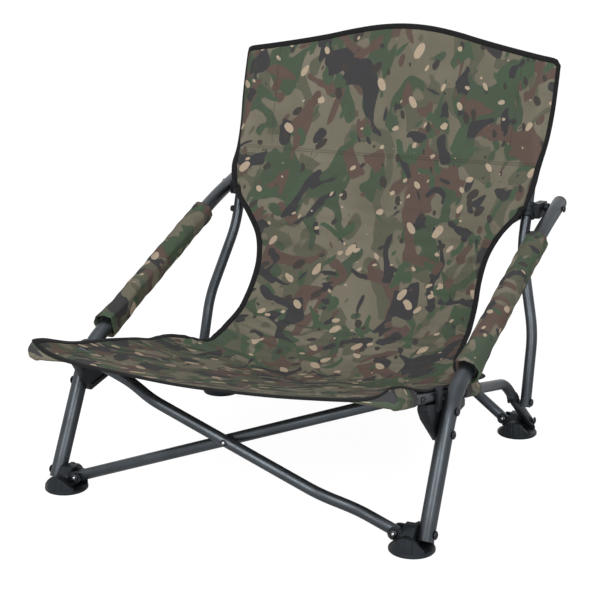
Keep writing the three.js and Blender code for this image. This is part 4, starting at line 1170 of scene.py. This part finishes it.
TIP, START, END = -0.4195, -0.4015, -0.341  # of the front pocket, in y
NARROWER = 0.034
front_rows = [rail_pocket_row(TIP + 0.0155 * t ** 1.7, math.sqrt(max(0.0, 1 - (1 - t) ** 2)))
              for t in np.linspace(0, 1, 12)]
front_rows += [rail_pocket_row(y, 1.0, SEAM_IN - NARROWER * ((y - START) / (END - START)) ** 1.5)
               for y in np.linspace(START, END, 26)]
rear_rows = [rail_pocket_row(y) for y in np.linspace(-0.111, -0.035, 30)]
back_rows = [upright_pocket_row(v) for v in np.linspace(18.4, LAST - 0.02, 70)]
for word, side in SIDES:
    obj = strip(f"seat_pocket_front_{word}", front_rows, side, "rail_body_right")
    obj = strip(f"seat_pocket_rear_{word}", rear_rows, side, "rail_body_right")
    obj = strip(f"back_pocket_{word}", back_rows, side, "upright_body_right")
print("pockets made")

# %% [markdown]
# ## Stitching with Geometry Nodes
# A seam is a row of short stitches. The tree lays them along a line at a named spacing, each a
# short rod of thread that follows the line.

# %% Stitch tree
def stitch_tree():
    tree, given = geometry_tree("stitch_row", (
        ("Seam", "Geometry", None), ("Spacing", "Float", 0.0042), ("Stitch", "Float", 0.0029),
        ("Thread", "Float", 0.00045)), "Stitches")
    line = add(tree, "GeometryNodeMeshToCurve", {"Mesh": given["Seam"]})
    dots = add(tree, "GeometryNodeCurveToPoints", {"Curve": line, "Length": given["Spacing"]},
               mode="LENGTH")
    rod = add(tree, "GeometryNodeMeshCylinder",
              {"Vertices": 6, "Depth": given["Stitch"], "Radius": given["Thread"]})
    aim = add(tree, "FunctionNodeAlignRotationToVector", {"Vector": dots.outputs["Tangent"]}, axis="Z")
    place = add(tree, "GeometryNodeInstanceOnPoints",
                {"Points": dots, "Instance": rod, "Rotation": aim})
    return end_tree(tree, given, place)


stitch_row = stitch_tree()


def seam(name, lines, body, spacing=0.0042):
    points, edges = [], []
    for line in lines:
        edges += [(len(points) + k, len(points) + k + 1) for k in range(len(line) - 1)]
        points += line
    obj = new_object(name, points, edges=edges)
    run_tree(obj, stitch_row, Spacing=spacing, Stitch=spacing * 0.7, Thread=0.00045, Finish=thread)
    return soft(obj, body, thread)


def on_cloth(grid, i, j):
    return grid[i][j] + cloth_normal(grid, i, j) * 0.0012


def nearest(values, wanted):
    return min(range(len(values)), key=lambda k: abs(values[k] - wanted))


def column_line(grid, us, share, i_from, i_to):
    """A seam that runs along the cloth, at a share of its half width."""
    j = nearest(us, share)
    return [on_cloth(grid, i, j) for i in range(i_from, i_to)]


def low_seam(lift, sag=0.36):
    """The seam across the back hangs a little lower in the middle than at the sides."""
    line = []
    for j, u in enumerate(back_us):
        place = (18.95 + lift - sag * (1 - u * u) - back_vs[0]) / (back_vs[1] - back_vs[0])
        i = int(place)
        line.append(on_cloth(back_grid, i, j).lerp(on_cloth(back_grid, i + 1, j), place - i))
    return line


lines = [low_seam(0.0), low_seam(0.09)]
for share in (0.79, -0.79):
    lines.append(column_line(back_grid, back_us, share, nearest(back_vs, 19.1), len(back_grid) - 2))
seam("back_seams", lines, "upright_body_right")
lines = [[on_cloth(seat_grid, 4, j) for j in range(2, len(seat_us) - 2)]]
for share in (0.86, -0.86):
    for first, last in ((3, 24), (52, 72)):
        lines.append(column_line(seat_grid, seat_us, share, first, last))
seam("seat_seams", lines, "rail_body_right")
print("seams sewn")

# %% [markdown]
# ## Arm pads
# Each pad is a sleeve of the same cloth round a foam tube, with its hems rolled in. A cloth
# simulation with a little pressure fills it out and gives the uneven swell that a real pad has. The
# foam shows as a dark ring in its mouth.

# %% Arm pads
PAD_FLAT = 0.3030  # the pad is flat towards the seat, at this x
PAD_ROWS, PAD_COLUMNS = 90, 56
SWELL = 0.0010  # the most that the simulation may move a point
# a hem's rings: how far out along the pad, and how far in from the cover
ROLL = ((0.0012, 0.0006), (0.0014, 0.0016), (0.0004, 0.0026), (-0.006, 0.0034), (-0.016, 0.0042))
PAD_TURN = 0.019  # the cut's width for one radian
pad_start, pad_end = (leg_corner.lerp(arm_bend, (y - leg_corner.y * 1000) / (248.0 - leg_corner.y * 1000))
                      for y in (-163.6, 200.0))
pad_length = (pad_end - pad_start).length
pad_run = (pad_end - pad_start).normalized()
pad_wide = (OUT - pad_run * OUT.dot(pad_run)).normalized()
pad_up = pad_wide.cross(pad_run)


def pad_point(t, a):
    """A point of the sleeve, a little wider at its hems and towards its front, with small folds."""
    edge = min(t, 1 - t) * pad_length
    radius = 0.0203 + 0.0006 * math.exp(-(edge / 0.016) ** 2) + 0.0022 * math.exp(-(t / 0.12) ** 2)
    ripple = 0.0007 * math.exp(-(edge / 0.02) ** 2) * math.sin(9 * a + 3 * t)
    ripple += 0.0005 * math.sin(23 * t + 2.0 * math.sin(a)) + 0.0004 * math.sin(61 * t + 3 * a)
    r = radius + ripple
    spot = (pad_start + pad_run * (pad_length * t) + pad_wide * (r * math.cos(a))
            + pad_up * (r * math.sin(a)))
    return Vector((max(spot.x, PAD_FLAT), spot.y, spot.z))


def swell(obj):
    """Presses the cover outward for a few frames, with its hems held, then keeps the result."""
    group = obj.vertex_groups.new(name="held")
    group.add([k for k in range(len(obj.data.vertices)) if not 2 <= k // PAD_COLUMNS <= PAD_ROWS - 2],
              1.0, "REPLACE")
    before = np.array([v.co[:] for v in obj.data.vertices])
    cloth = obj.modifiers.new("cover", "CLOTH")
    for name, value in (
            ("quality", 6), ("mass", 0.25), ("tension_stiffness", 22), ("compression_stiffness", 12),
            ("shear_stiffness", 6), ("bending_stiffness", 0.9), ("vertex_group_mass", "held"),
            ("use_pressure", True), ("uniform_pressure_force", 3.0)):
        setattr(cloth.settings, name, value)
    cloth.settings.effector_weights.gravity = 0.0
    cloth.collision_settings.use_self_collision = False
    cloth.point_cache.frame_start, cloth.point_cache.frame_end = 1, 20
    scene = bpy.context.scene
    for number in range(1, 21):
        scene.frame_set(number)
    shown = obj.evaluated_get(bpy.context.evaluated_depsgraph_get())
    moved = np.array([v.co[:] for v in shown.data.vertices]) - before
    obj.modifiers.clear()
    size = np.linalg.norm(moved, axis=1, keepdims=True)
    moved *= np.minimum(1.0, SWELL / np.maximum(size, 1e-9))
    for vertex, shift in zip(obj.data.vertices, moved):
        vertex.co += Vector(shift)
        vertex.co.x = math.copysign(max(abs(vertex.co.x), PAD_FLAT), vertex.co.x)
    scene.frame_set(1)
    return float(size.max())


def rolled(ring, outward):
    """Rings that turn a hem inward, so that the mouth is a rounded, dark opening."""
    centre = sum(ring, Vector()) / len(ring)
    return [[p + outward * depth - (p - centre).normalized() * inset for p in ring] for depth, inset in ROLL]


def arm_pad(word, side):
    steps = [2 * math.pi * j / PAD_COLUMNS for j in range(PAD_COLUMNS)]
    shares = [i / PAD_ROWS for i in range(PAD_ROWS + 1)]
    faces = grid_faces(PAD_ROWS + 1, PAD_COLUMNS, closed=True)
    if side > 0:  # the pressure has to push outward on both sides
        faces = [face[::-1] for face in faces]
    points = [pad_point(t, a) for t in shares for a in steps]
    sleeve = new_object("sleeve", mirrored(points, side), faces)
    grown = swell(sleeve)
    shown = [v.co.copy() for v in sleeve.data.vertices]
    bpy.data.objects.remove(sleeve)
    rings = [shown[k:k + PAD_COLUMNS] for k in range(0, len(shown), PAD_COLUMNS)]
    axis = at_side(pad_run, side)
    rings = rolled(rings[0], -axis)[::-1] + rings + rolled(rings[-1], axis)
    lengths = [0.0] * len(ROLL) + [pad_length * t for t in shares] + [pad_length] * len(ROLL)
    cover = new_object(f"arm_pad_cover_{word}", [p for ring in rings for p in ring],
                       grid_faces(len(rings), PAD_COLUMNS, closed=True))
    add_cut(cover.data, [(a * PAD_TURN + 0.37 * (side > 0), run + 0.11 * side)
                         for run in lengths for a in steps])
    layer = cover.data.uv_layers["cut"].data
    for face in cover.data.polygons:
        if face.index % PAD_COLUMNS == PAD_COLUMNS - 1:  # a ring's last face ends on its first points
            for corner in face.loop_indices[1:3]:
                layer[corner].uv.x += 2 * math.pi * PAD_TURN
    modify(close_up(cover, merge=0), "SOLIDIFY", thickness=0.0010, offset=-1.0)
    finish_piece(cover, f"leg_body_{word}", pad_camouflage, [f"arm_pad_{word}"], 60.0)
    profile = [(0.0130, 0.0), (0.0168, 0.0), (0.0174, 0.001), (0.0174, pad_length - 0.013),
               (0.0168, pad_length - 0.012), (0.0130, pad_length - 0.012), (0.0130, 0.0)]
    core = turned(f"arm_foam_{word}", profile, at_side(pad_start, side) + axis * 0.006, axis, 40)
    for vertex in core.data.vertices:
        vertex.co.x = side * max(abs(vertex.co.x), PAD_FLAT + 0.0012)
    finish_piece(core, f"leg_body_{word}", foam)
    print(word, "pad swelled by up to %.1f mm" % (grown * 1000))


for word, side in SIDES:
    arm_pad(word, side)

# %% [markdown]
# ## Light and ground
# A pale floor keeps the chair's shadow. Large soft lamps above and to the sides light it as in a
# product studio. The background is white for the camera and in reflections, and dimmer for the
# light that it sheds, by the world's Is Camera Ray and Is Glossy Ray.

# %% Stage
REACH = 14.0
corners = [(x * REACH, y * REACH, -0.0005) for x, y in ((-1, -1), (1, -1), (1, 1), (-1, 1))]
floor = new_object("floor", corners, [(0, 1, 2, 3)])
ground, tree, shader = new_finish("pale_floor")
feed(tree, shader, {"Base Color": grey(0.9), "Roughness": 0.9})
glow = add(tree, "ShaderNodeEmission", {"Strength": 1.2})
camera_ray = add(tree, "ShaderNodeLightPath").outputs["Is Camera Ray"]
seen = add(tree, "ShaderNodeMath", {0: camera_ray, 1: 0.78}, operation="MULTIPLY")
blend = add(tree, "ShaderNodeMixShader", {"Fac": seen, 1: shader, 2: glow})
feed(tree, tree.nodes["Material Output"], {"Surface": blend})
floor.data.materials.append(ground)

world = bpy.data.worlds.new("studio")
bpy.context.scene.world = world
world.use_nodes = True
tree = world.node_tree
tree.nodes.clear()
soft_sky = add(tree, "ShaderNodeBackground", {"Color": grey(1.0), "Strength": 0.36})
white = add(tree, "ShaderNodeBackground", {"Color": grey(1.0), "Strength": 1.0})
rays = add(tree, "ShaderNodeLightPath").outputs
either = add(tree, "ShaderNodeMath", {0: rays["Is Camera Ray"], 1: rays["Is Glossy Ray"]},
             operation="MAXIMUM")
sky = add(tree, "ShaderNodeMixShader", {"Fac": either, 1: soft_sky, 2: white})
add(tree, "ShaderNodeOutputWorld", {"Surface": sky})


def lamp(name, place, size, power):
    data = bpy.data.lights.new(name, "AREA")
    data.shape = "RECTANGLE"
    data.size, data.size_y = size
    data.energy = power
    obj = bpy.data.objects.new(name, data)
    obj.location = place
    obj.rotation_euler = (Vector((0.0, 0.0, 0.3)) - Vector(place)).to_track_quat("-Z", "Y").to_euler()
    bpy.context.collection.objects.link(obj)


lamp("key", (-0.35, -2.8, 1.75), (0.8, 1.8), 48.0)
lamp("side", (1.75, -2.3, 1.5), (0.7, 1.8), 42.0)
lamp("top", (0.0, 0.3, 3.2), (2.2, 2.2), 14.0)
bpy.context.scene.view_settings.view_transform = "Standard"
print("stage set")
